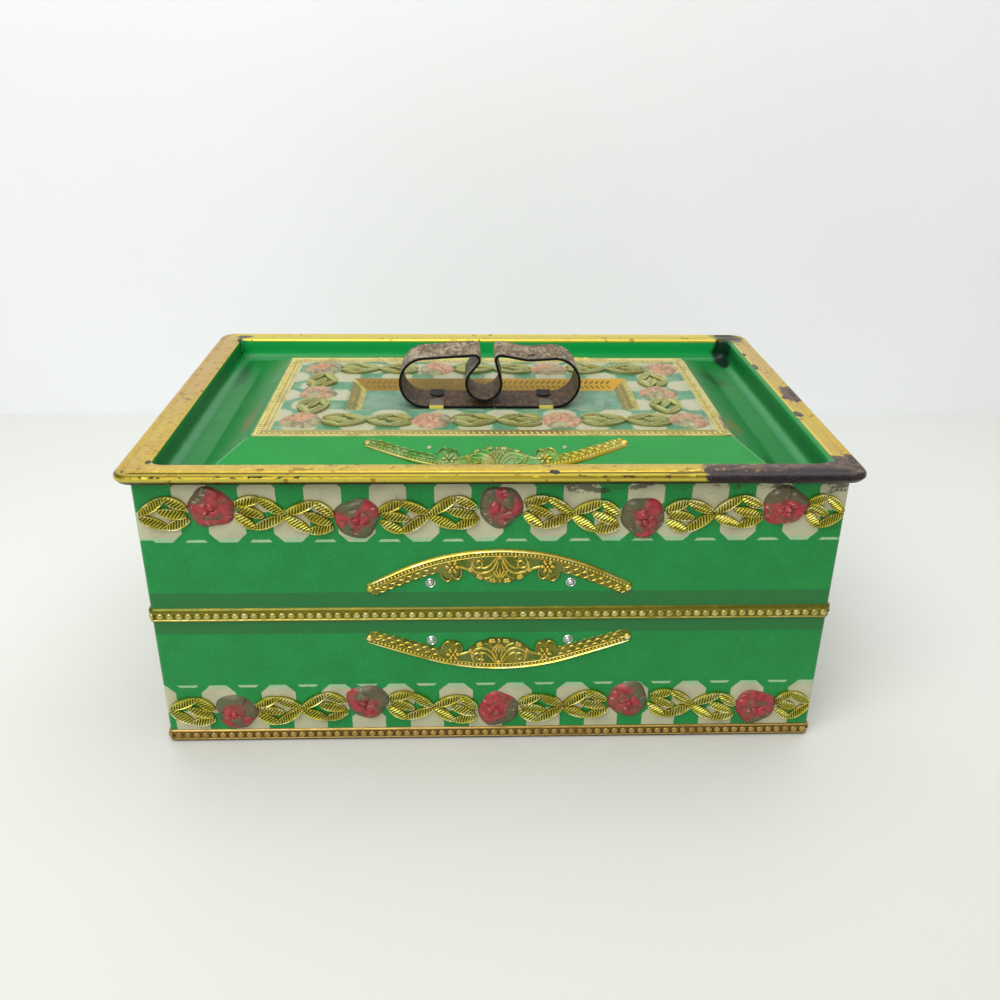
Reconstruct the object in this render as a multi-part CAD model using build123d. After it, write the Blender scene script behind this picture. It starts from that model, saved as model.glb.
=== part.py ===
"""A two-tier sewing tin: a base tray, a lift-off upper tray and a lift-off lid with a strip handle.

Units are millimetres. +Z is up, the front is -Y, and the origin is the middle of the footprint on
the surface that the tin stands on. Everything is folded from thin tinplate.
"""
from build123d import *
import math
import os

os.makedirs("parts", exist_ok=True)

# ---------------------------------------------------------------- driving dimensions
# the straight-sided body that both trays share
BODY_WIDTH = 200.0          # along X, outside the walls
BODY_DEPTH = 132.0          # along Y, outside the walls
CORNER_RADIUS = 1.4         # outside, on the four upright corners
SHEET = 0.3                 # tinplate
TIGHT_CORNER = 0.4          # the sharpest upright corner that a fold inside the body keeps
LAP_WIDTH = 5.0             # side seam of each wall, inside the back face
LAP_OFFSET = 38.0           # the seam's distance from the middle of the back face
LAP_CLEAR = 1.0             # between the seam's ends and the folds above and below it
OVERCUT = 1.0               # how far a cutting body stands out of what it cuts

# lower tier
BASE_HEIGHT = 43.6          # from the table to the base's mouth
FLOOR_RISE = 2.0            # underside of the base's floor above the table
HEM_HEIGHT = 1.7            # folded edge that grips the floor's rim
FLOOR_STEP = 0.8            # the floor's stiffening panel stands up by this
FLOOR_MARGIN = 10.0         # from the wall to that panel
COLLAR_SHEET = 0.4          # inner strip that guides the upper tray
COLLAR_GRIP = 8.0           # how far it reaches down inside the base
COLLAR_STAND = 4.5          # how far it stands above the mouth
COLLAR_PLAY = 0.3           # between the collar and the upper tray's skirt

# upper tier
TRAY_HEIGHT = 47.9          # its own wall, lower edge to upper edge
BEAD_HEIGHT = 4.0           # turned-up double edge round its foot
BEAD_PROUD = 0.3            # that edge stands out from the wall
EDGE_PROUD = 0.3            # turned-over top edge stands out from the wall
EDGE_HEIGHT = 2.0
TRAY_FLOOR_GAP = 0.3        # between the collar's top and the tray's floor
TRAY_RIM_UP = 4.0           # the floor's upturned rim, fixed to the wall

# lid
WIRE_DIAMETER = 2.2         # stiffening wire in the rolled rim
WIRE_PLAY = 0.05
LID_PLAY = 0.9              # between the tray's turned edge and the rolled rim
ROLL_SLIT = 0.5             # opening where the curl closes on itself
WELL_INSET = 4.6            # from the body's outer face in to the well's wall
WELL_RADIUS = 4.0           # upright corners of the well
WELL_DEPTH = 7.7            # from the rim's top down to the channel
RIM_BEND = 0.8              # radius where the flat rim turns down into the well
CHANNEL_WIDTH = 3.0         # level ground between the well's wall and the hip
CHANNEL_FILLET = 2.4
GROUND_DEPTH = 1.2          # of the ground below the channel, from which the skin is shelled
HIP_RUN = 19.6              # level distance that the hipped slope covers
PANEL_DROP = 0.9            # raised panel below the rim's top
WINDOW_LENGTH = 95.0        # sunk window for the handle, along X
WINDOW_WIDTH = 31.6         # along Y
WINDOW_SLOPE = 6.0          # level distance that its sloped long sides cover
WINDOW_END_SLOPE = 4.4      # and its sloped ends
WINDOW_DEPTH = 2.4

# handle, one strip bent round a row of forming pins and set on the window's floor
STRIP_WIDTH = 16.0
STRIP_SHEET = 0.8
HANDLE_SPAN = 59.4          # outside, left loop to right loop
LOOP_RADIUS = 8.25          # all bend radii and pins are for the strip's centre line
FOLD_RADIUS = 1.7
FOLD_RISE = 7.9             # of the two folds' pins above the pocket's pin
RIGHT_FOLD = 3.5            # of the right fold's pin from the middle
LEFT_FOLD = 5.1             # of the left fold's pin from the middle
SAG_RADIUS = 14.0           # soft dip pressed into the run from the right loop to its fold
SAG_DEPTH = 1.0
POCKET_RADIUS = 5.7         # round pocket between the folds
POCKET_OFFSET = 2.0         # left of the middle
POCKET_CLEAR = 1.5          # between the pocket's underside and the strip's foot
STRIP_BUTT = 0.4            # gap between the strip's two ends
BUTT_OFFSET = 1.6           # and its place right of the middle

# lugs cut from the window's floor and clinched over the strip's foot
LUG_WIDTH = 4.6
LUG_SPACING = 36.0
LUG_REACH = 7.4
LUG_PLAY = 0.1

# ---------------------------------------------------------------- driving dimensions: embossed work
EMBOSS_ROOT = 0.15          # how deep each embossed form is rooted in its sheet
GARLAND_PITCH = 40.2        # rose to rose
GARLAND_SHIFT = 1.8         # of the middle rose from the middle of a long wall
GARLAND_EDGE = 12.6         # of the garland's line from the base's foot and from the tray's top
GARLAND_SWAY = 1.7          # roses stand above and below that line in turn
CLUSTER_OFFSET = 13.1       # of a leaf cluster from the nearest rose
CLUSTER_DROP = 0.5          # of a cluster below the line between its roses
CLUSTER_TILT = 6.0          # degrees, along that line
CLUSTER_REACH = 7.4         # half its length
ROSE_FOOT = 10.8            # diameter of a rose's low form at the sheet
ROSE_CROWN = 8.4            # and at its top
ROSE_HEIGHT = 0.8
LEAF_TIPS = (               # of a cluster's five leaves from its middle, the rose on its left
    ((-6.0, 3.0), (-0.8, 4.5)),
    ((0.8, 4.35), (6.1, 0.8)),
    ((6.1, -0.8), (-0.5, -4.5)),
    ((-1.7, -4.4), (-5.7, -1.6)),
    ((-5.1, 1.5), (0.4, -0.7)),
)
LEAF_OUTER = 1.3            # how far a leaf's outer edge bulges from the line between its tips
LEAF_INNER = 0.4            # and its inner edge to the other side
LEAF_HEIGHT = 0.4
CREST_RADIUS = 68.0         # of the arc in the middle of the crescent's outer edge
CREST_BEND = 30.0           # where that arc runs on straight, to both sides of the middle
BASE_CREST_BEND = 22.0      # the same on the base, whose crescents are flatter
CREST_REACH = 40.0          # along the outer edge from its middle to its tips
CREST_RIDGE_OUT = 0.25      # the rounded ridge, in from the outer edge
CREST_RIDGE_IN = 0.85
CREST_RIDGE_HEIGHT = 0.55
CREST_BAND = 3.1            # inner edge of the band below the ridge
CREST_BAND_HEIGHT = 0.25
CREST_BOSS = 3.2            # radius of the scrollwork's boss in the middle
CREST_BOSS_IN = 5.8         # and its middle's distance in from the outer edge
CREST_ROSETTE = 2.0         # radius of the two rosettes
CREST_ROSETTE_IN = 4.6
CREST_ROSETTE_REACH = 16.2  # of the rosettes along the outer edge from its middle
BASE_CREST = 26.1           # outer edge of the base's crescents above the table
TRAY_CREST = 23.5           # of the tray's crescents above the tray's foot
LID_CREST = 4.8             # of the lid's crescents up the slope from the hip's foot
PANEL_PITCH = 40.5          # rose to rose on the raised panel
PANEL_ROSES = 4             # in each of its two rows
PANEL_ROW_EDGE = 12.9       # of a row's line from the panel's edge
PANEL_COLUMN_EDGE = 15.5    # of the two side roses from the panel's ends
PANEL_MARGIN = 4.0          # plain ground kept at both ends of a row

# ---------------------------------------------------------------- derived levels
tray_foot = BASE_HEIGHT
tray_top = tray_foot + TRAY_HEIGHT
collar_top = BASE_HEIGHT + COLLAR_STAND
tray_floor_low = collar_top + TRAY_FLOOR_GAP
rim_top = tray_top + SHEET
channel_top = rim_top - WELL_DEPTH
panel_top = rim_top - PANEL_DROP
window_floor = panel_top - WINDOW_DEPTH
curl_bore = WIRE_DIAMETER / 2 + WIRE_PLAY
roll_radius = curl_bore + SHEET
roll_inset = -(EDGE_PROUD + LID_PLAY + roll_radius)     # the wire's line, outside the body
hip_foot = WELL_INSET + CHANNEL_WIDTH
panel_inset = hip_foot + HIP_RUN
panel_length = BODY_WIDTH - 2 * panel_inset
panel_width = BODY_DEPTH - 2 * panel_inset


# ---------------------------------------------------------------- helpers
def outline(inset, radius=None):
    """The body's rounded outline, moved in by inset (out, when it is negative)."""
    corner = max(CORNER_RADIUS - inset, TIGHT_CORNER) if radius is None else radius
    return RectangleRounded(BODY_WIDTH - 2 * inset, BODY_DEPTH - 2 * inset, corner)


def slab(inset, low, high, radius=None):
    """A plate with the body's outline between two levels."""
    return Pos(0, 0, low) * extrude(outline(inset, radius), high - low)


def ring(outer, inner, low, high, outer_radius=None, inner_radius=None):
    """A rounded rectangular band between two insets and two levels."""
    hole = slab(inner, low - OVERCUT, high + OVERCUT, inner_radius)
    return slab(outer, low, high, outer_radius) - hole


def block(size_x, size_y, low, high, x=0.0, y=0.0):
    """A box by its plan size, centre and two levels."""
    return Pos(x, y, (low + high) / 2) * Box(size_x, size_y, high - low)


def frustum(low_size, high_size, low, high):
    """A block with four sloping sides between two rectangles."""
    ends = [Pos(0, 0, low) * Rectangle(*low_size), Pos(0, 0, high) * Rectangle(*high_size)]
    return loft(ends)


def write(node, solid):
    """Writes one node's STEP file."""
    solid.label = node
    export_step(solid, f"parts/{node}.step")


# ---------------------------------------------------------------- embossed work
def raised(face, height):
    """A flat form rooted in the sheet that lies in the XY plane."""
    return Pos(0, 0, -EMBOSS_ROOT) * extrude(face, EMBOSS_ROOT + height)


def leaf(start, end):
    """One leaf: a low form between two arcs, the outer one on the left of the line to its end."""
    start, end = Vector(*start), Vector(*end)
    middle = (start + end) / 2
    aside = (end - start).normalized().rotate(Axis.Z, 90)
    outer = ThreePointArc(start, middle + aside * LEAF_OUTER, end)
    inner = ThreePointArc(end, middle - aside * LEAF_INNER, start)
    return raised(make_face([outer, inner]), LEAF_HEIGHT)


def cluster():
    """Five leaves: three spread from the rose, and two that meet at the far end."""
    return [leaf(start, end) for start, end in LEAF_TIPS]


def rose():
    """One rose: a low round form with a sloping edge."""
    root = Pos(0, 0, -EMBOSS_ROOT / 2) * Cylinder(ROSE_FOOT / 2, EMBOSS_ROOT)
    crown = Pos(0, 0, ROSE_HEIGHT / 2) * Cone(ROSE_FOOT / 2, ROSE_CROWN / 2, ROSE_HEIGHT)
    return [root + crown]


def crest_point(depth, reach, bend):
    """A point of the crescent: depth inside its outer edge, reach along that edge from its middle.

    The edge is an arc as far as bend on both sides of the middle and straight from there on.
    """
    limit = CREST_RADIUS * math.asin(bend / CREST_RADIUS)
    on_arc = max(-limit, min(limit, reach))
    angle = on_arc / CREST_RADIUS
    run = reach - on_arc
    x = (CREST_RADIUS - depth) * math.sin(angle) + run * math.cos(angle)
    y = (CREST_RADIUS - depth) * math.cos(angle) - run * math.sin(angle) - CREST_RADIUS
    return (x, y)


def crest_band(outer, inner, bend):
    """The part of the crescent between two depths."""
    limit = CREST_RADIUS * math.asin(bend / CREST_RADIUS)
    stops = (-CREST_REACH, -limit, 0, limit, CREST_REACH)
    far = [crest_point(outer, reach, bend) for reach in stops]
    near = [crest_point(inner, reach, bend) for reach in stops]
    edges = [Line(far[0], near[0]), Line(far[4], near[4])]
    for side in (far, near):
        edges += [Line(side[0], side[1]), ThreePointArc(*side[1:4]), Line(side[3], side[4])]
    return make_face(edges)


def crescent(bend=CREST_BEND):
    """The crescent, its crown at the origin: a ridge, a band, two rosettes and a boss."""
    band = raised(crest_band(CREST_RIDGE_IN, CREST_BAND, bend), CREST_BAND_HEIGHT)
    rounds = [((0, -CREST_BOSS_IN), CREST_BOSS)]
    for side in (-1, 1):
        middle = crest_point(CREST_ROSETTE_IN, side * CREST_ROSETTE_REACH, bend)
        rounds.append((middle, CREST_ROSETTE))
    bosses = [Pos(*middle, 0) * raised(Circle(radius), CREST_BAND_HEIGHT) for middle, radius in rounds]
    ridge = raised(crest_band(CREST_RIDGE_OUT, CREST_RIDGE_IN, bend), CREST_RIDGE_HEIGHT)
    return [ridge + band, *bosses]


def stamp(forms, x, y, turn=0.0):
    """Forms moved to one place on a face."""
    return [Location((x, y, 0), (0, 0, turn)) * form for form in forms]


def garland(numbers, pitch, shift, rise, sway, room):
    """A row of roses with two leaf clusters after each, where they fit in the room on both sides."""
    flower, leaves = rose(), cluster()
    lean = (sway > 0) - (sway < 0)
    forms = []
    for number in numbers:
        x = shift + number * pitch
        wave = 1 - 2 * (number % 2)
        if abs(x) < room - ROSE_FOOT / 2:
            forms += stamp(flower, x, rise + sway * wave)
        for offset, turn in ((CLUSTER_OFFSET, 0.0), (pitch - CLUSTER_OFFSET, 180.0)):
            if abs(x + offset) < room - CLUSTER_REACH:
                level = rise + sway * wave * (1 - 2 * offset / pitch) - CLUSTER_DROP * abs(lean)
                forms += stamp(leaves, x + offset, level, turn - CLUSTER_TILT * wave * lean)
    return forms


def stations(inset, level, run=0.0, rise=1.0):
    """The four faces round the body, front first: each one's place, half its length and its shift.

    On a face X runs along it, Y up its slope and Z out of it.
    """
    found = []
    for quarter in range(4):
        halves = (BODY_WIDTH / 2, BODY_DEPTH / 2)
        half_length, reach = halves if quarter % 2 == 0 else halves[::-1]
        face = Plane(origin=(0, inset - reach, level), x_dir=(1, 0, 0), z_dir=(0, -rise, run))
        shift = GARLAND_SHIFT if quarter % 2 == 0 else 0.0
        found.append((Rot(0, 0, 90 * quarter) * face.location, half_length, shift))
    return found


def wall_decoration(line, sway, crown, crown_turn, bend):
    """The garland and the crescent on each of one tier's four walls."""
    crest = crescent(bend)
    forms = []
    for place, half_length, shift in stations(0, 0):
        numbers = range(-round(half_length / GARLAND_PITCH) - 1, round(half_length / GARLAND_PITCH) + 1)
        row = garland(numbers, GARLAND_PITCH, shift, line, sway, half_length)
        forms += [place * form for form in row + stamp(crest, shift, crown, crown_turn)]
    return forms


def lid_decoration():
    """The crescents on the two long slopes and the garland round the raised panel."""
    forms = []
    for place, _, shift in stations(hip_foot, channel_top, HIP_RUN, panel_top - channel_top)[::2]:
        forms += [place * form for form in stamp(crescent(), shift, LID_CREST, 180)]
    numbers = range(-PANEL_ROSES // 2, PANEL_ROSES // 2)
    first = GARLAND_SHIFT + PANEL_PITCH / 2
    room = panel_length / 2 - PANEL_MARGIN
    flower, leaves = rose(), cluster()
    column = flower + stamp(leaves, CLUSTER_OFFSET, 0) + stamp(leaves, -CLUSTER_OFFSET, 0, 180)
    top = Pos(0, 0, panel_top)
    for side in (-1, 1):
        row_line = side * (panel_width / 2 - PANEL_ROW_EDGE)
        row = garland(numbers, PANEL_PITCH, first, row_line, 0.0, room)
        aside = Location((side * (panel_length / 2 - PANEL_COLUMN_EDGE), 0, 0), (0, 0, 90))
        forms += [top * form for form in row]
        forms += [top * aside * form for form in column]
    return forms


# ---------------------------------------------------------------- lower tier
def base_wall():
    """One strip rolled round the body, lapped at the back, its foot folded in and up."""
    wall = ring(0, SHEET, 0, BASE_HEIGHT)
    fold = ring(SHEET / 2, 3 * SHEET, 0, SHEET)
    lip = ring(2 * SHEET, 3 * SHEET, 0, HEM_HEIGHT)
    seam = lap(FLOOR_RISE + SHEET + LAP_CLEAR, BASE_HEIGHT - COLLAR_GRIP - LAP_CLEAR)
    decoration = wall_decoration(GARLAND_EDGE, -GARLAND_SWAY, BASE_CREST, 180, BASE_CREST_BEND)
    return wall + fold + lip + seam + decoration


def lap(low, high):
    """The overlap of a wall's two ends, soldered inside the back face."""
    rooted = SHEET / 2
    inner = 2 * SHEET
    centre = BODY_DEPTH / 2 - (rooted + inner) / 2
    return block(LAP_WIDTH, inner - rooted, low, high, LAP_OFFSET, centre)


def base_floor():
    """A pan whose downturned rim sits in the wall's folded foot, with a raised panel."""
    top = FLOOR_RISE + SHEET
    plate = ring(SHEET, FLOOR_MARGIN, FLOOR_RISE, top)
    flange = ring(SHEET, 2 * SHEET, SHEET, top)
    riser = ring(FLOOR_MARGIN - SHEET, FLOOR_MARGIN, FLOOR_RISE, top + FLOOR_STEP)
    panel = slab(FLOOR_MARGIN - SHEET, FLOOR_RISE + FLOOR_STEP, top + FLOOR_STEP)
    return plate + flange + riser + panel


def base_collar():
    """A joggled strip inside the base's mouth that the upper tray drops over."""
    low_out = SHEET
    high_out = SHEET + COLLAR_PLAY
    low = ring(low_out, low_out + COLLAR_SHEET, BASE_HEIGHT - COLLAR_GRIP, BASE_HEIGHT)
    step = ring(low_out, high_out + COLLAR_SHEET, BASE_HEIGHT - COLLAR_SHEET, BASE_HEIGHT)
    high = ring(high_out, high_out + COLLAR_SHEET, BASE_HEIGHT - COLLAR_SHEET, collar_top)
    return low + step + high


# ---------------------------------------------------------------- upper tier
def tray_wall():
    """One strip rolled round the body, with a double edge at its foot and at its top."""
    wall = ring(0, SHEET, tray_foot, tray_top)
    bead = ring(-BEAD_PROUD, SHEET, tray_foot, tray_foot + BEAD_HEIGHT)
    edge = ring(-EDGE_PROUD, SHEET, tray_top - EDGE_HEIGHT, tray_top)
    seam = lap(tray_floor_low + TRAY_RIM_UP + LAP_CLEAR, tray_top - EDGE_HEIGHT)
    line = tray_top - GARLAND_EDGE
    decoration = wall_decoration(line, GARLAND_SWAY, tray_foot + TRAY_CREST, 0, CREST_BEND)
    return wall + bead + edge + seam + decoration


def tray_floor():
    """A pan fixed inside the upper tray's wall, just above the collar."""
    top = tray_floor_low + SHEET
    plate = ring(SHEET, FLOOR_MARGIN, tray_floor_low, top)
    rim = ring(SHEET, 2 * SHEET, tray_floor_low, tray_floor_low + TRAY_RIM_UP)
    riser = ring(FLOOR_MARGIN - SHEET, FLOOR_MARGIN, tray_floor_low, top + FLOOR_STEP)
    panel = slab(FLOOR_MARGIN - SHEET, tray_floor_low + FLOOR_STEP, top + FLOOR_STEP)
    return plate + rim + riser + panel


# ---------------------------------------------------------------- lid
def lid_ground():
    """The solid ground under the lid's upper face, inside the well."""
    ground = slab(WELL_INSET - SHEET / 2, channel_top - GROUND_DEPTH, channel_top, WELL_RADIUS)
    foot = (BODY_WIDTH - 2 * hip_foot, BODY_DEPTH - 2 * hip_foot)
    hip = frustum(foot, (panel_length, panel_width), channel_top, panel_top)
    window_low = (WINDOW_LENGTH - 2 * WINDOW_END_SLOPE, WINDOW_WIDTH - 2 * WINDOW_SLOPE)
    window = frustum(window_low, (WINDOW_LENGTH, WINDOW_WIDTH), window_floor, panel_top)
    return ground + hip - window


def rolled_rim():
    """The curl round the stiffening wire, a tube with a slit on its inner side."""
    level = rim_top - roll_radius
    tube = round_bar(roll_radius) - round_bar(curl_bore)
    slit = ring(roll_inset + curl_bore / 2, roll_inset + 2 * roll_radius, level - ROLL_SLIT, level)
    return tube - slit


def round_bar(radius):
    """A closed round bar that follows the rolled rim's line."""
    path = Pos(0, 0, rim_top - roll_radius) * outline(roll_inset).wire()
    start = Plane(origin=path @ 0, z_dir=path % 0)
    return sweep(start * Circle(radius), path)


def well_wall():
    """The flat rim and the upright wall of the well."""
    band = ring(roll_inset, WELL_INSET, rim_top - SHEET, rim_top, None, WELL_RADIUS)
    wall = ring(WELL_INSET - SHEET, WELL_INSET, channel_top - SHEET, rim_top,
                WELL_RADIUS + SHEET, WELL_RADIUS)
    return band + wall


def on_loop(edge, inset, level):
    """Whether an edge lies on the closed loop round the well at one inset and level."""
    half_x = BODY_WIDTH / 2 - inset
    half_y = BODY_DEPTH / 2 - inset
    near = 1e-3
    ends = [edge @ 0, edge @ 1]
    flat = all(abs(point.Z - level) < near for point in [*ends, edge @ 0.5])
    return flat and all(
        abs(abs(point.X) - half_x) < near or abs(abs(point.Y) - half_y) < near for point in ends
    )


def bend(solid, inset, level, radius):
    """Rounds the closed edge that runs round the well at one inset and level."""
    return solid.fillet(radius, [edge for edge in solid.edges() if on_loop(edge, inset, level)])


def lug_places():
    """Each lug's x and its side, -1 at the strip's front edge and +1 at its rear edge."""
    return [(x, side) for side in (-1, 1) for x in (-LUG_SPACING / 2, LUG_SPACING / 2)]


def lug(x, side):
    """One lug: a leg up the strip's edge and a round-ended tongue over its foot."""
    leg_outer = STRIP_WIDTH / 2 + LUG_PLAY + SHEET
    seat = window_floor + STRIP_SHEET + LUG_PLAY
    tongue_length = LUG_REACH - LUG_WIDTH / 2
    leg = block(LUG_WIDTH, SHEET, window_floor - SHEET, seat + SHEET,
                x, side * (leg_outer - SHEET / 2))
    tongue = block(LUG_WIDTH, tongue_length, seat, seat + SHEET,
                   x, side * (leg_outer - tongue_length / 2))
    tip = Pos(x, side * (leg_outer - tongue_length), seat + SHEET / 2) * Cylinder(LUG_WIDTH / 2, SHEET)
    return leg + tongue + tip


def lug_opening(x, side):
    """The opening that one lug was cut from, hidden under the strip."""
    edge = STRIP_WIDTH / 2 + LUG_PLAY
    return block(LUG_WIDTH, LUG_REACH, window_floor - 2 * SHEET, window_floor + SHEET,
                 x, side * (edge - LUG_REACH / 2))


def lid_panel():
    """The whole lid: rolled rim, well, channel, hipped slopes, raised panel, window and lugs."""
    ground = lid_ground()
    skin = ground - Pos(0, 0, -SHEET) * ground
    shell = well_wall() + skin
    shell = bend(shell, WELL_INSET, rim_top, RIM_BEND)
    shell = bend(shell, WELL_INSET, channel_top, CHANNEL_FILLET)
    shell = bend(shell, WELL_INSET - SHEET, channel_top - SHEET, CHANNEL_FILLET + SHEET)
    for x, side in lug_places():
        shell = shell - lug_opening(x, side) + lug(x, side)
    return shell + rolled_rim() + lid_decoration()


def lid_rim_wire():
    """The wire inside the rolled rim, its ends butted."""
    return round_bar(WIRE_DIAMETER / 2)


# ---------------------------------------------------------------- handle
def heading(pin, other):
    """The direction, in radians, of the straight run that leaves one pin and meets the next."""
    run_x = other[0] - pin[0]
    run_z = other[1] - pin[1]
    swap = other[3] * other[2] - pin[3] * pin[2]
    return math.atan2(run_z, run_x) - math.asin(swap / math.hypot(run_x, run_z))


def on_pin(pin, angle):
    """The point where a run with this direction touches the pin."""
    reach = pin[3] * pin[2]
    return (pin[0] + reach * math.sin(angle), pin[1] - reach * math.cos(angle))


def sag_pin(loop, fold):
    """The pin that presses a soft dip into the middle of the run between two others."""
    angle = heading(loop, fold)
    ends = (on_pin(loop, angle), on_pin(fold, angle))
    lift = SAG_RADIUS - SAG_DEPTH
    x = (ends[0][0] + ends[1][0]) / 2 + lift * math.sin(angle)
    z = (ends[0][1] + ends[1][1]) / 2 - lift * math.cos(angle)
    return (x, z, SAG_RADIUS, -1)


def forming_pins():
    """The pins that the strip is bent round: centre x, centre z, radius, +1 left turn or -1 right."""
    half = STRIP_SHEET / 2
    loop_x = HANDLE_SPAN / 2 - half - LOOP_RADIUS
    loop_z = half + LOOP_RADIUS
    pocket_z = STRIP_SHEET + POCKET_CLEAR + half + POCKET_RADIUS
    fold_z = pocket_z + FOLD_RISE
    right_loop = (loop_x, loop_z, LOOP_RADIUS, 1)
    right_fold = (RIGHT_FOLD, fold_z, FOLD_RADIUS, 1)
    pocket = (-POCKET_OFFSET, pocket_z, POCKET_RADIUS, -1)
    left_fold = (-LEFT_FOLD, fold_z, FOLD_RADIUS, 1)
    left_loop = (-loop_x, loop_z, LOOP_RADIUS, 1)
    return [right_loop, sag_pin(right_loop, right_fold), right_fold, pocket, left_fold, left_loop]


def strip_line():
    """The strip's centre line: straight runs between the pins and arcs round them."""
    half = STRIP_SHEET / 2
    start = (BUTT_OFFSET + STRIP_BUTT / 2, half, 0, 1)
    end = (BUTT_OFFSET - STRIP_BUTT / 2, half, 0, 1)
    stops = [start, *forming_pins(), end]
    runs = [heading(a, b) for a, b in zip(stops, stops[1:])]
    pieces = []
    for a, b, angle in zip(stops, stops[1:], runs):
        pieces.append(Line(on_pin(a, angle), on_pin(b, angle)))
    for pin, arrive, leave in zip(stops[1:-1], runs, runs[1:]):
        turn = (leave - arrive) * pin[3] % (2 * math.pi)
        middle = arrive + pin[3] * turn / 2
        pieces.append(ThreePointArc(on_pin(pin, arrive), on_pin(pin, middle), on_pin(pin, leave)))
    return Wire(pieces)


def handle_strip():
    """One strip: flat foot, a loop at each side and a round pocket between two folds."""
    face = Plane.XZ * trace(strip_line(), STRIP_SHEET)
    return Pos(0, STRIP_WIDTH / 2, window_floor) * extrude(face, STRIP_WIDTH, dir=(0, -1, 0))


for name, make in [
    ("base_wall", base_wall),
    ("base_floor", base_floor),
    ("base_collar", base_collar),
    ("tray_wall", tray_wall),
    ("tray_floor", tray_floor),
    ("lid_panel", lid_panel),
    ("lid_rim_wire", lid_rim_wire),
    ("handle_strip", handle_strip),
]:
    write(name, make())
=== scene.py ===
"""Dresses the two-tier sewing tin: printed tinplate, embossed roses and leaves, gilt mouldings and wear.

Everything is modelled in millimetres in the tin's own frame and scaled to metres when it is finished.
"""
import logging
import math
import random
from dataclasses import dataclass, replace
from enum import Enum
from typing import Callable, Iterable, Optional, Sequence, Union

import bmesh
import bpy
from mathutils import Matrix, Vector, noise


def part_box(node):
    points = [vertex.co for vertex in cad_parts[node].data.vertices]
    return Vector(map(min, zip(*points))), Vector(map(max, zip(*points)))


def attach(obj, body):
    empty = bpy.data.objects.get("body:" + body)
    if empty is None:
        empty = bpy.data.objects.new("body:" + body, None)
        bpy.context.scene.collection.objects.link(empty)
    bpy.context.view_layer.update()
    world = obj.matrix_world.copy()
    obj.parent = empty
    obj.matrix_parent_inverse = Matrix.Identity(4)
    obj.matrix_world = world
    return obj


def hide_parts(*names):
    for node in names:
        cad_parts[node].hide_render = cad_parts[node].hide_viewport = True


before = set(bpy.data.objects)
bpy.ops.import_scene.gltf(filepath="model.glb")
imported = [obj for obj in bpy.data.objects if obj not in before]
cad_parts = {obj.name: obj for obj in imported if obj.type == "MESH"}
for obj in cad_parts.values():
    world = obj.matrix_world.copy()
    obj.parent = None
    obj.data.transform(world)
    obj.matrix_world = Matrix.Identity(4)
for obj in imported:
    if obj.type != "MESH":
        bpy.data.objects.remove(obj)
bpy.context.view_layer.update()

LOG = logging.getLogger("sewing_tin")
MM = 0.001
SHEET = 0.3
WIRE_PLAY = 0.05
CORNER = 1.4
TONE = "tone"
BLUSH = "blush"
ROUND_STEPS = 6


class Body(Enum):
    """The bodies that pieces ride on."""

    BASE = "base"
    TRAY = "tray"
    LID = "lid"


class Slot(Enum):
    """The kinds of sheet that pieces are made of."""

    LITHO = "litho_tin"
    AGED = "aged_tin"


def box_mm(node: str) -> tuple[Vector, Vector]:
    """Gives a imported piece's lowest and highest corners in millimetres."""
    low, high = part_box(node)
    return low / MM, high / MM


# ---------------------------------------------------------------- the tin's own sizes
@dataclass(frozen=True)
class TinSizes:
    """The main sizes of the tin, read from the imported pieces, in millimetres."""

    half_x: float
    half_y: float
    tray_top: float
    rim_top: float

    @classmethod
    def from_frame(cls) -> "TinSizes":
        """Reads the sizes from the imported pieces.

        Returns:
            The sizes of this tin.
        """
        floor = box_mm("base_floor")[1]
        tray_top = box_mm("tray_wall")[1].z
        rim_top = box_mm("lid_rim_wire")[1].z + SHEET + WIRE_PLAY
        return cls(floor.x + SHEET, floor.y + SHEET, tray_top, rim_top)


TIN = TinSizes.from_frame()


# ---------------------------------------------------------------- colour and shader arithmetic
def ink(code: str) -> tuple[float, float, float, float]:
    """Turns a six-digit colour into the linear values that a shader takes.

    Args:
        code: Red, green and blue as two hexadecimal digits each.

    Returns:
        Linear red, green, blue and an alpha of one.
    """
    parts = [int(code[i:i + 2], 16) / 255 for i in (0, 2, 4)]
    linear = [p / 12.92 if p <= 0.04045 else ((p + 0.055) / 1.055) ** 2.4 for p in parts]
    return (*linear, 1.0)


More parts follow.
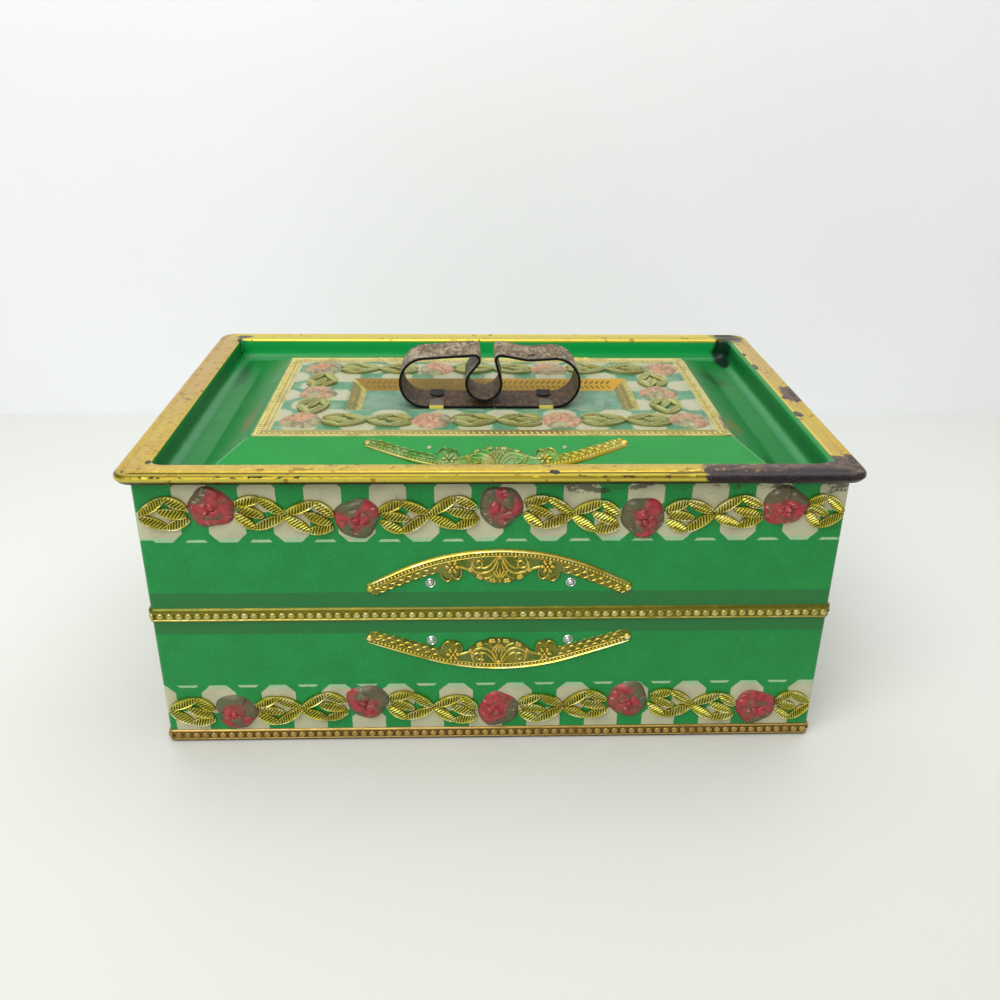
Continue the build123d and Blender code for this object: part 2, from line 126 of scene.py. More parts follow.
class Signal:
    """A number that varies over a surface; arithmetic on it adds shader nodes."""

    def __init__(self, graph: "Graph", socket: bpy.types.NodeSocket) -> None:
        """Wraps an output socket of the graph."""
        self.graph = graph
        self.socket = socket

    def math(self, operation: str, *others: Union["Signal", float], clamp: bool = False) -> "Signal":
        """Adds one Math node.

        Args:
            operation: The node's operation.
            others: The second and third values.
            clamp: Whether the result is kept between zero and one.

        Returns:
            The node's result.
        """
        node = self.graph.add("ShaderNodeMath", operation=operation, use_clamp=clamp)
        for socket, value in zip(node.inputs, (self, *others)):
            self.graph.feed(socket, value)
        return Signal(self.graph, node.outputs[0])

    def __add__(self, other: Union["Signal", float]) -> "Signal":
        """Adds."""
        return self.math("ADD", other)

    def __sub__(self, other: Union["Signal", float]) -> "Signal":
        """Subtracts."""
        return self.math("SUBTRACT", other)

    def __mul__(self, other: Union["Signal", float]) -> "Signal":
        """Multiplies."""
        return self.math("MULTIPLY", other)

    def __neg__(self) -> "Signal":
        """Changes the sign."""
        return self.math("MULTIPLY", -1.0)

    def __abs__(self) -> "Signal":
        """Drops the sign."""
        return self.math("ABSOLUTE")

    def flip(self) -> "Signal":
        """Gives one minus the value."""
        return (-self) + 1.0

    def least(self, other: Union["Signal", float]) -> "Signal":
        """Keeps the smaller of two values."""
        return self.math("MINIMUM", other)

    def most(self, other: Union["Signal", float]) -> "Signal":
        """Keeps the larger of two values."""
        return self.math("MAXIMUM", other)

    def near(self, pitch: float) -> "Signal":
        """Gives the distance to the nearest whole multiple of a pitch."""
        return self.math("PINGPONG", pitch / 2)

    def above(self, limit: float, soft: float = 0.05) -> "Signal":
        """Is one above a limit and zero below it, over a soft step.

        Args:
            limit: The middle of the step.
            soft: Half the width of the step.

        Returns:
            The mask.
        """
        node = self.graph.add("ShaderNodeMapRange", interpolation_type="SMOOTHSTEP")
        self.graph.feed(node.inputs["Value"], self)
        node.inputs["From Min"].default_value = limit - soft
        node.inputs["From Max"].default_value = limit + soft
        return Signal(self.graph, node.outputs[0])

    def below(self, limit: float, soft: float = 0.05) -> "Signal":
        """Is one below a limit and zero above it, over a soft step."""
        return self.above(limit, soft).flip()

    def between(self, low: float, high: float, soft: float = 0.05) -> "Signal":
        """Is one between two limits."""
        return self.above(low, soft) * self.below(high, soft)


class Graph:
    """Builds one procedural material whose lengths are millimetres on Object coordinates."""

    def __init__(self, name: str) -> None:
        """Starts the material with a Principled shader and the surface's place."""
        self.material = bpy.data.materials.new(name)
        self.material.use_nodes = True
        self.nodes = self.material.node_tree.nodes
        self.links = self.material.node_tree.links
        self.shader = self.nodes["Principled BSDF"]
        coords = self.add("ShaderNodeTexCoord")
        scaled = self.add("ShaderNodeVectorMath", operation="SCALE")
        scaled.inputs["Scale"].default_value = 1 / MM
        self.links.new(coords.outputs["Object"], scaled.inputs[0])
        self.place = scaled.outputs[0]
        parts = self.add("ShaderNodeSeparateXYZ")
        self.links.new(self.place, parts.inputs[0])
        self.x, self.y, self.z = (Signal(self, out) for out in parts.outputs)

    def add(self, kind: str, **settings: object) -> bpy.types.Node:
        """Adds a node and sets its properties."""
        node = self.nodes.new(kind)
        for key, value in settings.items():
            setattr(node, key, value)
        return node

    def feed(self, socket: bpy.types.NodeSocket, value: Union[Signal, float]) -> None:
        """Links a signal to a socket, or writes a plain number into it."""
        if isinstance(value, Signal):
            self.links.new(value.socket, socket)
        else:
            socket.default_value = value

    def noise(self, size: float, detail: float = 2.0, stretch: Sequence[float] = (1, 1, 1),
              shift: float = 0.0) -> Signal:
        """Adds a noise texture.

        Args:
            size: The size of its largest features in millimetres.
            detail: How many finer layers it has.
            stretch: How much longer features are along each axis.
            shift: Moves the pattern, so that two of one size differ.

        Returns:
            Its value, around one half.
        """
        mapping = self.add("ShaderNodeMapping")
        mapping.inputs["Scale"].default_value = [1 / (size * s) for s in stretch]
        mapping.inputs["Location"].default_value = (shift, shift, shift)
        self.links.new(self.place, mapping.inputs["Vector"])
        texture = self.add("ShaderNodeTexNoise")
        texture.inputs["Scale"].default_value = 1.0
        texture.inputs["Detail"].default_value = detail
        self.links.new(mapping.outputs[0], texture.inputs["Vector"])
        return Signal(self, texture.outputs[0])

    def attribute(self, name: str) -> Signal:
        """Reads a number stored on the mesh."""
        node = self.add("ShaderNodeAttribute", attribute_name=name)
        return Signal(self, node.outputs["Fac"])

    def colour(self, code: str) -> bpy.types.NodeSocket:
        """Gives a plain colour as a socket."""
        node = self.add("ShaderNodeRGB")
        node.outputs[0].default_value = ink(code)
        return node.outputs[0]

    def paint(self, ground: bpy.types.NodeSocket, code: Union[str, bpy.types.NodeSocket],
              mask: Signal) -> bpy.types.NodeSocket:
        """Lays one colour over another where a mask is one.

        Args:
            ground: The colour below.
            code: The colour above, as digits or as a socket.
            mask: Where it is laid.

        Returns:
            The mixed colour.
        """
        node = self.add("ShaderNodeMix", data_type="RGBA")
        self.feed(node.inputs["Factor"], mask)
        self.links.new(ground, node.inputs[6])
        if isinstance(code, str):
            node.inputs[7].default_value = ink(code)
        else:
            self.links.new(code, node.inputs[7])
        return node.outputs[2]

    def bump(self, height: Signal, depth: float) -> None:
        """Adds fine relief.

        Args:
            height: The relief, from zero to one.
            depth: How deep it is in millimetres.
        """
        node = self.add("ShaderNodeBump")
        node.inputs["Distance"].default_value = depth * MM
        self.feed(node.inputs["Height"], height)
        if self.shader.inputs["Normal"].is_linked:
            self.links.new(self.shader.inputs["Normal"].links[0].from_socket, node.inputs["Normal"])
        self.links.new(node.outputs[0], self.shader.inputs["Normal"])

    def finish(self, colour: bpy.types.NodeSocket, roughness: Union[Signal, float],
               metallic: Union[Signal, float] = 0.0, coat: float = 0.0,
               coat_roughness: float = 0.1, gloss: float = 0.5) -> bpy.types.Material:
        """Feeds the shader.

        Args:
            colour: The base colour.
            roughness: From mirror-like at zero to dull at one.
            metallic: Where bare or lacquered metal shows.
            coat: The weight of the clear varnish.
            coat_roughness: How dull the varnish is.
            gloss: How strongly the ink itself mirrors.

        Returns:
            The finished material.
        """
        self.links.new(colour, self.shader.inputs["Base Color"])
        self.feed(self.shader.inputs["Roughness"], roughness)
        self.feed(self.shader.inputs["Metallic"], metallic)
        self.shader.inputs["Coat Weight"].default_value = coat
        self.shader.inputs["Coat Roughness"].default_value = coat_roughness
        self.shader.inputs["Specular IOR Level"].default_value = gloss
        return self.material


# ---------------------------------------------------------------- printed designs
@dataclass(frozen=True)
class Gingham:
    """A chequered print of octagons, in rows that step by half a pitch."""

    pitch: float = 18.05
    row_step: float = 9.5
    half_width: float = 5.15
    corner_sum: float = 7.5

    def mask(self, across: Signal, up: Signal, ragged: Signal, grow: float = 0.0) -> Signal:
        """Draws the octagons.

        Args:
            across: Distance along the rows from one octagon's middle.
            up: Distance across the rows from the same middle.
            ragged: Noise that makes the printed edge uneven.
            grow: How much larger they are drawn.

        Returns:
            One on the octagons.
        """
        near_x = across.near(self.pitch)
        near_y = up.near(2 * self.row_step)
        first = self.reach(near_x, near_y)
        second = self.reach((-near_x) + self.pitch / 2, (-near_y) + self.row_step)
        edge = first.least(second) + (ragged - 0.5) * 0.35
        return edge.below(self.half_width + grow, 0.09)

    def reach(self, near_x: Signal, near_y: Signal) -> Signal:
        """Measures how far a point is from an octagon's middle."""
        slanted = (near_x + near_y) * (self.half_width / self.corner_sum)
        return near_x.most(near_y).most(slanted)


@dataclass(frozen=True)
class PrintedWall:
    """Green printed tinplate outside and gold lacquer inside, for one tier's wall."""

    name: str
    first_x: float
    first_row: float
    print_low: float
    print_high: float
    strip_low: float
    strip_high: float
    seam: Optional[float] = None
    green: str = "168e42"
    deep_green: str = "266f38"
    cream: str = "c1c19f"
    lacquer: str = "c9993a"
    gingham: Gingham = Gingham()

    def build(self) -> bpy.types.Material:
        """Makes the material.

        Returns:
            The wall's finish.
        """
        g = Graph(self.name)
        side = (abs(g.x) - TIN.half_x - abs(g.y) + TIN.half_y).above(0.0, 0.01)
        across = g.x * side.flip() + g.y * side
        mottle = g.noise(9.0, 4.0)
        speck = g.noise(0.45, 1.0, shift=3.0)
        grain = g.noise(1.6, 3.0, shift=7.0)
        green = g.paint(g.colour(self.green), "0f7a36", mottle.between(0.5, 0.8, 0.2) * 0.45)
        green = g.paint(green, "3fae68", speck.above(0.68, 0.06) * 0.35)
        green = g.paint(green, "0f6630", speck.below(0.33, 0.06) * 0.4)
        strip = g.z.between(self.strip_low, self.strip_high, 0.12)
        green = g.paint(green, self.deep_green, strip * 0.85)
        octagons = self.gingham.mask(across - self.first_x, g.z - self.first_row, grain)
        octagons = octagons * g.z.between(self.print_low, self.print_high, 0.08)
        if self.seam is not None:
            past = g.x.below(self.seam, 0.1) * side.flip()
            octagons = octagons * past.flip() + past * g.z.between(70.4, 79.2, 0.1)
        cream = g.paint(g.colour(self.cream), "a39f86", mottle.above(0.55, 0.15) * 0.5)
        fringe = g.z.between(self.print_low, self.print_low + 1.4, 0.1)
        fringe = fringe.most(g.z.between(self.print_high - 1.4, self.print_high, 0.1))
        face = g.paint(green, g.paint(cream, "8fc89c", fringe * grain.above(0.4, 0.2) * 0.8), octagons)
        rubbed = g.noise(3.0, 6.0, (3.0, 3.0, 1.0), 11.0) * g.z.above(TIN.tray_top - 9.0, 5.0)
        rubbed = rubbed * (g.x - 5.0).above(0.0, 16.0)
        face = g.paint(face, "2a2a1c", (rubbed + speck * 0.25).above(0.66, 0.03) * 0.75)
        scratch = g.noise(2.2, 5.0, (0.25, 0.25, 3.0), 5.0)
        face = g.paint(face, "1c4a2a", scratch.above(0.74, 0.02) * 0.8)
        chips = g.noise(1.3, 3.0, shift=23.0).above(0.765, 0.01)
        face = g.paint(face, "1b2018", chips * 0.9)
        # Painted shade: the wall's lowest 0.45 mm, under the foot moulding, is painted dark green.
        face = g.paint(face, "0d3a1c", g.z.below(0.45, 0.15) * 0.8)
        corner = self.outside(g)
        inner = g.paint(g.colour(self.lacquer), "8f6a24", g.noise(14.0, 5.0).above(0.5, 0.2) * 0.5)
        colour = g.paint(inner, face, corner)
        g.bump(g.noise(38.0, 1.0, shift=2.0), 0.5)
        g.bump(grain, 0.012)
        rough = corner * 0.04 + g.noise(6.0, 3.0) * 0.16 + 0.22
        return g.finish(colour, rough, corner.flip() * 0.9, 0.1, 0.18, 0.25)

    def outside(self, g: Graph) -> Signal:
        """Is one on the outer face of the wall."""
        past_x = (abs(g.x) - (TIN.half_x - CORNER)).most(0.0)
        past_y = (abs(g.y) - (TIN.half_y - CORNER)).most(0.0)
        reach = (past_x * past_x + past_y * past_y).math("SQRT")
        return reach.above(CORNER - SHEET / 2, 0.02)


@dataclass(frozen=True)
class Gilt:
    """Embossed gold work: bright lacquered tin on its heights, olive in its hollows, and painted glints on
    its highest tones.
    """

    name: str
    bright: str = "f3c94e"
    middle: str = "b79a24"
    hollow: str = "4d4a0e"
    roughness: float = 0.24
    worn: float = 0.0
    warm_from: Optional[float] = None
    glints: float = 0.0
    tarnish: str = "8d7a1c"

    def build(self) -> bpy.types.Material:
        """Makes the material, which reads the height that is stored on the mesh.

        Returns:
            The finish of the gold work.
        """
        g = Graph(self.name)
        tone = g.attribute(TONE) + (g.noise(0.8, 2.0) - 0.5) * 0.3
        colour = g.paint(g.colour(self.hollow), self.middle, tone.above(0.3, 0.2))
        colour = g.paint(colour, self.bright, tone.above(0.66, 0.2))
        tarnish = g.noise(7.0, 4.0, shift=4.0)
        colour = g.paint(colour, self.tarnish, tarnish.above(0.58, 0.1) * 0.55)
        # Painted highlight: pale glints on the highest tones.
        glint = g.noise(2.3, 3.0, (1.5, 1.5, 0.6), 15.0).above(0.54, 0.05) * tone.above(0.74, 0.1)
        colour = g.paint(colour, "fff8c0", glint * self.glints)
        if self.warm_from is not None:
            colour = g.paint(colour, "d9b62c", g.x.above(self.warm_from, 4.0) * tone.above(0.3, 0.25) * 0.9)
        if self.worn:
            colour = g.paint(colour, "cfc79a", g.noise(5.0, 5.0, shift=9.0).above(0.5, 0.12) * self.worn)
        rough = g.noise(2.5, 3.0) * 0.2 + self.roughness
        g.bump(g.noise(0.5, 2.0, shift=6.0), 0.02)
        return g.finish(colour, rough, 0.85, 0.2, 0.12)


@dataclass(frozen=True)
class RosePrint:
    """Red ink that sits a little off the embossed rose, over grey-green outer petals, with painted shade in
    the creases between petals and painted highlights on their crowns.
    """

    name: str
    red: str = "b03c42"
    deep: str = "80262e"
    leaf: str = "5c6446"
    line: str = "33261c"
    glint: str = "e8b4b0"

    def build(self) -> bpy.types.Material:
        """Makes the material, which reads the petal edges and the red area from the mesh.

        Returns:
            The finish of the roses.
        """
        g = Graph(self.name)
        blotch = g.noise(2.6, 4.0)
        leaf = g.paint(g.colour(self.leaf), "6a5040", blotch.above(0.5, 0.15) * 0.7)
        red = g.paint(g.colour(self.red), self.deep, g.noise(1.6, 3.0, shift=8.0).above(0.55, 0.12) * 0.7)
        red = g.paint(red, leaf, g.noise(3.4, 5.0, shift=37.0).above(0.56, 0.1) * 0.55)
        blush = g.attribute(BLUSH) + (blotch - 0.5) * 0.9
        colour = g.paint(leaf, red, blush.above(0.5, 0.28))
        tone = g.attribute(TONE) + (g.noise(0.9, 2.0, shift=5.0) - 0.5) * 0.35
        # Painted shade: grey-green, then a dark line, where the tone is low in the creases between petals.
        colour = g.paint(colour, leaf, tone.below(0.5, 0.16) * 0.7)
        colour = g.paint(colour, self.line, tone.below(0.3, 0.12) * 0.8)
        # Painted highlight: pale glints on the petals' crowns.
        glint = g.noise(1.5, 3.0, (1.2, 1.0, 0.5), 27.0).above(0.655, 0.05) * tone.above(0.8, 0.1)
        colour = g.paint(colour, self.glint, glint * 0.6)
        g.bump(g.noise(0.7, 3.0, shift=1.0), 0.05)
        return g.finish(colour, g.noise(2.0, 3.0) * 0.25 + 0.3, 0.1, 0.12, 0.15, 0.3)


@dataclass(frozen=True)
class PlainMetal:
    """A metal surface with stains and rubbed patches."""

    name: str
    base: str
    stain: str
    roughness: float
    metallic: float = 1.0
    patch: float = 6.0

    def build(self) -> bpy.types.Material:
        """Makes the material.

        Returns:
            The finish.
        """
        g = Graph(self.name)
        colour = g.paint(g.colour(self.base), self.stain, g.noise(self.patch, 5.0).above(0.52, 0.16) * 0.7)
        g.bump(g.noise(1.2, 3.0, shift=2.0), 0.015)
        rough = g.noise(self.patch / 2, 4.0, shift=5.0) * 0.25 + self.roughness
        return g.finish(colour, rough, self.metallic, 0.15, 0.15)


# ---------------------------------------------------------------- sheet and relief
def new_mesh() -> bmesh.types.BMesh:
    """Starts an empty mesh whose points can hold a tone and a blush."""
    made = bmesh.new()
    made.verts.layers.float.new(TONE)
    made.verts.layers.float.new(BLUSH)
    return made


def bent_grid(columns: int, rows: int,
              place: Callable[[float, float], tuple[Vector, float]]) -> bmesh.types.BMesh:
    """Makes a flat grid and bends it.

    Args:
        columns: Faces along it.
        rows: Faces across it.
        place: Gives the point and the tone for a share along and a share across.

    Returns:
        The bent sheet.
    """
    made = new_mesh()
    bmesh.ops.create_grid(made, x_segments=columns, y_segments=rows, size=1.0)
    tone = made.verts.layers.float[TONE]
    for point in made.verts:
        spot, value = place((point.co.x + 1) / 2, (point.co.y + 1) / 2)
        point.co = spot
        point[tone] = value
    bmesh.ops.remove_doubles(made, verts=made.verts, dist=1e-4)
    return made


def close_under(made: bmesh.types.BMesh) -> bmesh.types.BMesh:
    """Closes the open edge of a low relief with one flat face and turns its faces outwards."""
    edges = [edge for edge in made.edges if edge.is_boundary]
    bmesh.ops.holes_fill(made, edges=edges, sides=0)
    bmesh.ops.recalc_face_normals(made, faces=made.faces)
    return made


def domed_disc(segments: int, rings: int,
               place: Callable[[float, float], tuple[Vector, float, float]]) -> bmesh.types.BMesh:
    """Makes a round relief from half a sphere.

    Args:
        segments: Faces round it.
        rings: Rings of faces from its middle to its edge.
        place: Gives the point, the tone and the blush for a share of the radius and an angle.

    Returns:
        The closed relief.
    """
    made = new_mesh()
    bmesh.ops.create_uvsphere(made, u_segments=segments, v_segments=2 * rings, radius=1.0)
    geometry = [*made.verts, *made.edges, *made.faces]
    bmesh.ops.bisect_plane(made, geom=geometry, plane_co=(0, 0, -1e-3), plane_no=(0, 0, 1), clear_inner=True)
    low = [point for point in made.verts if point.co.z < -5e-4]
    bmesh.ops.delete(made, geom=low, context="VERTS")
    tone = made.verts.layers.float[TONE]
    blush = made.verts.layers.float[BLUSH]
    for point in made.verts:
        reach = math.acos(max(-1.0, min(1.0, point.co.z))) / (math.pi / 2)
        angle = math.atan2(point.co.y, point.co.x)
        point.co, point[tone], point[blush] = place(min(reach, 1.0), angle)
    return close_under(made)


def bead(radius: float, height: float, segments: int = 8, rings: int = 3, shine: float = 1.0,
         fade: float = 2.0) -> bmesh.types.BMesh:
    """Makes one small dome that stands on its face.

    Args:
        radius: Its radius.
        height: Its height.
        segments: Faces round it.
        rings: Rings of faces from its middle to its edge.
        shine: The tone of its top.
        fade: How close to its edge it darkens.

    Returns:
        The dome.
    """
    def place(reach: float, angle: float) -> tuple[Vector, float, float]:
        """Lays one point of the dome."""
        spread = math.sin(reach * math.pi / 2) * radius
        rise = math.cos(reach * math.pi / 2) * height - 0.03 * reach
        spot = Vector((spread * math.cos(angle), spread * math.sin(angle), rise))
        return spot, shine * (1.0 - reach ** fade), 0.0
    return domed_disc(segments, rings, place)


def ridge(path: Sequence[Vector], width: float, height: float, base: float = 0.0,
          closed: bool = False, shine: float = 1.0) -> bmesh.types.BMesh:
    """Raises a rounded line along a flat path.

    Args:
        path: The points that it follows.
        width: Its width at the foot.
        height: Its height above the base.
        base: The level of its foot.
        closed: Whether the last point meets the first.
        shine: The tone of its top.

    Returns:
        The raised line.
    """
    count = len(path) if closed else len(path) - 1
    taper = 0.0 if closed else 0.35

    def place(along: float, across: float) -> tuple[Vector, float]:
        """Lays one point of the line."""
        step = round(along * count)
        here = path[step % len(path)]
        ahead = path[(step + 1) % len(path)] if closed or step < count else here
        behind = path[step - 1] if closed or step > 0 else here
        way = (ahead - behind).normalized()
        side = Vector((-way.y, way.x, 0.0))
        end = 1.0 - taper * (2 * abs(along - 0.5)) ** 8
        swing = 2 * across - 1
        rise = base + height * (1 - swing * swing) * end - 0.02
        spot = here + side * (swing * width / 2 * end) + Vector((0, 0, rise))
        return spot, shine * (1.0 - 0.75 * abs(swing))
    made = bent_grid(count, 4, place)
    if not closed:
        return close_under(made)
    bmesh.ops.bridge_loops(made, edges=[edge for edge in made.edges if edge.is_boundary])
    return made


class Relief:
    """Many small shapes gathered in one piece, in millimetres."""

    def __init__(self) -> None:
        """Starts an empty relief."""
        self.made = new_mesh()

    def stamp(self, motif: bpy.types.Mesh, where: Matrix) -> None:
        """Adds a copy of a motif at one place."""
        first = len(self.made.verts)
        self.made.from_mesh(motif)
        self.made.verts.ensure_lookup_table()
        bmesh.ops.transform(self.made, matrix=where, verts=self.made.verts[first:])

    def lay(self, made: bmesh.types.BMesh, where: Matrix = Matrix.Identity(4)) -> None:
        """Adds a shape that is used only once."""
        motif = as_motif(made)
        self.stamp(motif, where)
        bpy.data.meshes.remove(motif)


def as_motif(made: bmesh.types.BMesh) -> bpy.types.Mesh:
    """Stores a shape so that it can be stamped many times."""
    motif = bpy.data.meshes.new("motif")
    made.to_mesh(motif)
    made.free()
    return motif


@dataclass(frozen=True)
class Piece:
    """How one finished piece is named and carried."""

    name: str
    body: Body
    material: bpy.types.Material
    sharp: float = 50.0
    slot: Slot = Slot.LITHO

    def finish(self, made: bmesh.types.BMesh, outward: bool = True) -> bpy.types.Object:
        """Turns a shape in millimetres into a piece of the tin.

        Args:
            made: The shape, which is used up.
            outward: Whether its faces are turned outwards first.

        Returns:
            The piece, riding on its body.
        """
        if outward:
            bmesh.ops.recalc_face_normals(made, faces=made.faces)
        bmesh.ops.scale(made, vec=(MM, MM, MM), verts=made.verts)
        mesh = bpy.data.meshes.new(self.name)
        made.to_mesh(mesh)
        made.free()
        mesh.shade_smooth()
        mesh.set_sharp_from_angle(angle=math.radians(self.sharp))
        mesh.materials.append(self.material)
        piece = bpy.data.objects.new(self.name, mesh)
        bpy.context.scene.collection.objects.link(piece)
        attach(piece, self.body.value)
        LOG.info("%s: %d faces, rides on %s", self.name, len(mesh.polygons), self.body.value)
        return piece


@dataclass(frozen=True)
class Face:
    """A flat face that decoration is laid on: across and up as someone sees it, and out towards them."""

    origin: Vector
    across: Vector
    up: Vector
    long_side: bool = False

    def at(self, x: float, y: float, turn: float = 0.0, size: Sequence[float] = (1, 1, 1)) -> Matrix:
        """Gives the place of a motif on this face.

        Args:
            x: Distance across from the face's middle line.
            y: Distance up the face.
            turn: Turn in degrees, anticlockwise as seen.
            size: The motif's scale across, up and out.

        Returns:
            The matrix from the motif to the tin's frame.
        """
        out = self.across.cross(self.up)
        frame_of = Matrix((self.across, self.up, out)).transposed().to_4x4()
        frame_of.translation = self.origin + self.across * x + self.up * y
        scale = Matrix.Diagonal((*size, 1.0))
        return frame_of @ Matrix.Rotation(math.radians(turn), 4, "Z") @ scale


def wall_faces() -> list[Face]:
    """Lists the front, right, back and left wall, seen from outside."""
    up = Vector((0, 0, 1))
    return [
        Face(Vector((0, -TIN.half_y, 0)), Vector((1, 0, 0)), up, long_side=True),
        Face(Vector((TIN.half_x, 0, 0)), Vector((0, 1, 0)), up),
        Face(Vector((0, TIN.half_y, 0)), Vector((-1, 0, 0)), up, long_side=True),
        Face(Vector((-TIN.half_x, 0, 0)), Vector((0, -1, 0)), up),
    ]


# ---------------------------------------------------------------- sheets that run round the tin
@dataclass(frozen=True)
class Loop:
    """One rounded rectangle that a sheet passes through on its way round the tin."""

    half_x: float
    half_y: float
    corner: float
    level: float
    tone: float = 0.5

    @classmethod
    def inset(cls, inset: float, level: float, corner: Optional[float] = None, tone: float = 0.5) -> "Loop":
        """Makes a loop by its distance in from the walls."""
        radius = max(CORNER - inset, 0.4) if corner is None else corner
        return cls(TIN.half_x - inset, TIN.half_y - inset, radius, level, tone)


@dataclass(frozen=True)
class Course:
    """The steps that a sheet takes round the tin."""

    side_steps: int = 24
    corner_steps: int = ROUND_STEPS

    @property
    def count(self) -> int:
        """The number of steps all the way round."""
        return 4 * (self.side_steps + self.corner_steps)

    def point(self, loop: Loop, step: int) -> Vector:
        """Gives the point of a loop at one step.

        Args:
            loop: The rounded rectangle.
            step: The step, counted from the front's left end.

        Returns:
            The point in the tin's frame.
        """
        corners = ((-1, -1), (1, -1), (1, 1), (-1, 1))
        quarter, part = divmod(step % self.count, self.side_steps + self.corner_steps)
        reach_x, reach_y = loop.half_x - loop.corner, loop.half_y - loop.corner
        behind = Vector((corners[quarter][0] * reach_x, corners[quarter][1] * reach_y, loop.level))
        after = corners[(quarter + 1) % 4]
        ahead = Vector((after[0] * reach_x, after[1] * reach_y, loop.level))
        share = min(part / self.side_steps, 1.0)
        bend = max(part - self.side_steps, 0) / self.corner_steps
        angle = math.radians(90 * (quarter + bend - 1))
        return behind.lerp(ahead, share) + loop.corner * Vector((math.cos(angle), math.sin(angle), 0))


def wrap(loops: Sequence[Loop], course: Course) -> bmesh.types.BMesh:
    """Runs a sheet round the tin through a row of loops.

    Args:
        loops: The loops, from the outside of the bottom up and in.
        course: The steps round.

    Returns:
        The sheet, open at its first and last loop.
    """
    last = len(loops) - 1

    def place(along: float, across: float) -> tuple[Vector, float]:
        """Lays one point of the sheet."""
        loop = loops[round(across * last)]
        return course.point(loop, round(along * course.count)), loop.tone
    return bent_grid(course.count, last, place)


def places_round(loop: Loop, pitch: float, flat: bool = False) -> list[Matrix]:
    """Spaces motifs evenly round a loop.

    Args:
        loop: The loop that they lie on.
        pitch: The wanted distance between them, adjusted to fit a whole number.
        flat: Whether they face up instead of outwards.

    Returns:
        One matrix for each motif.
    """
    course = Course(60, 12)
    points = [course.point(loop, step) for step in range(course.count)]
    runs = [(b - a).length for a, b in zip(points, points[1:] + points[:1])]
    total = sum(runs)
    count = round(total / pitch)
    places = []
    step, walked = 0, 0.0
    for number in range(count):
        target = (number + 0.5) * total / count
        while walked + runs[step] < target:
            walked += runs[step]
            step += 1
        start, end = points[step], points[(step + 1) % len(points)]
        way = (end - start).normalized()
        spot = start.lerp(end, (target - walked) / runs[step])
        up = Vector((0, 0, 1)).cross(way) if flat else Vector((0, 0, 1))
        places.append(Face(spot, way, up).at(0, 0))
    return places


# ---------------------------------------------------------------- embossed motifs
@dataclass(frozen=True)
class Leaf:
    """One leaf by its two tips; its outer edge bulges to the left of the line between them."""

    start: tuple[float, float]
    end: tuple[float, float]
    outer: float = 1.6
    inner: float = 1.65
    height: float = 1.2
    ribs: int = 9

    def build(self) -> bmesh.types.BMesh:
        """Makes the leaf: a raised outline round slanted ribs.

        Returns:
            The leaf, closed underneath.
        """
        first, way = Vector((*self.start, 0)), Vector((*self.end, 0)) - Vector((*self.start, 0))
        aside = Vector((-way.y, way.x, 0)).normalized()
        shares = (0.0, 0.05, 0.15, 0.45, 0.76, 0.95, 1.0)

        def place(along: float, across: float) -> tuple[Vector, float]:
            """Lays one point of the leaf."""
            number = round(across * 6)
            share, crest = shares[number], round(along * 2 * self.ribs) % 2
            swell = max(4 * along * (1 - along), 0.0) ** 0.62
            inside = 1 < number < 5
            slant = 1.7 * (share - 0.5) * swell / way.length * inside
            bulge = (share * (self.outer + self.inner) - self.inner) * swell
            spot = first + way * (along + slant) + aside * bulge
            rise = self.height * swell ** 0.3
            if number in (0, 6):
                spot.z, tone = -0.05, 0.25
            elif not inside:
                spot.z, tone = rise * (0.8 if number == 1 else 0.95), 1.0
            else:
                spot.z, tone = rise * (0.5 + 0.04 * number + 0.3 * crest), 0.02 + 0.03 * number + 0.72 * crest
            return spot, tone
        return close_under(bent_grid(2 * self.ribs, 6, place))


CLUSTER = (Leaf((-7.0, 2.4), (0.4, 4.6)), Leaf((-0.5, 4.7), (7.2, 0.3), ribs=10),
           Leaf((7.2, -0.3), (-1.5, -4.8), ribs=11), Leaf((-0.7, -4.85), (-6.8, -0.7), ribs=8),
           Leaf((-6.4, 1.5), (1.7, -1.0), 1.65, 1.5))


def leaf_cluster() -> bpy.types.Mesh:
    """Gathers five leaves: three spread from the rose on their left, and two that meet at the far end.

    Returns:
        The motif, about 14 mm by 12 mm.
    """
    made = Relief()
    for one in CLUSTER:
        made.lay(one.build())
    return as_motif(made.made)


@dataclass(frozen=True)
class Petal:
    """One domed petal of a rose, in shares of the rose's radius."""

    middle: Vector
    reach: float
    lift: float
    red: float

    def rise(self, spot: Vector) -> float:
        """Gives the petal's height over a spot; it leans up towards the rose's middle."""
        off = (spot - self.middle).length / self.reach
        return self.lift * (1.0 - 0.55 * off * off) - 0.28 * self.lift * max(0.0, off - 0.8)


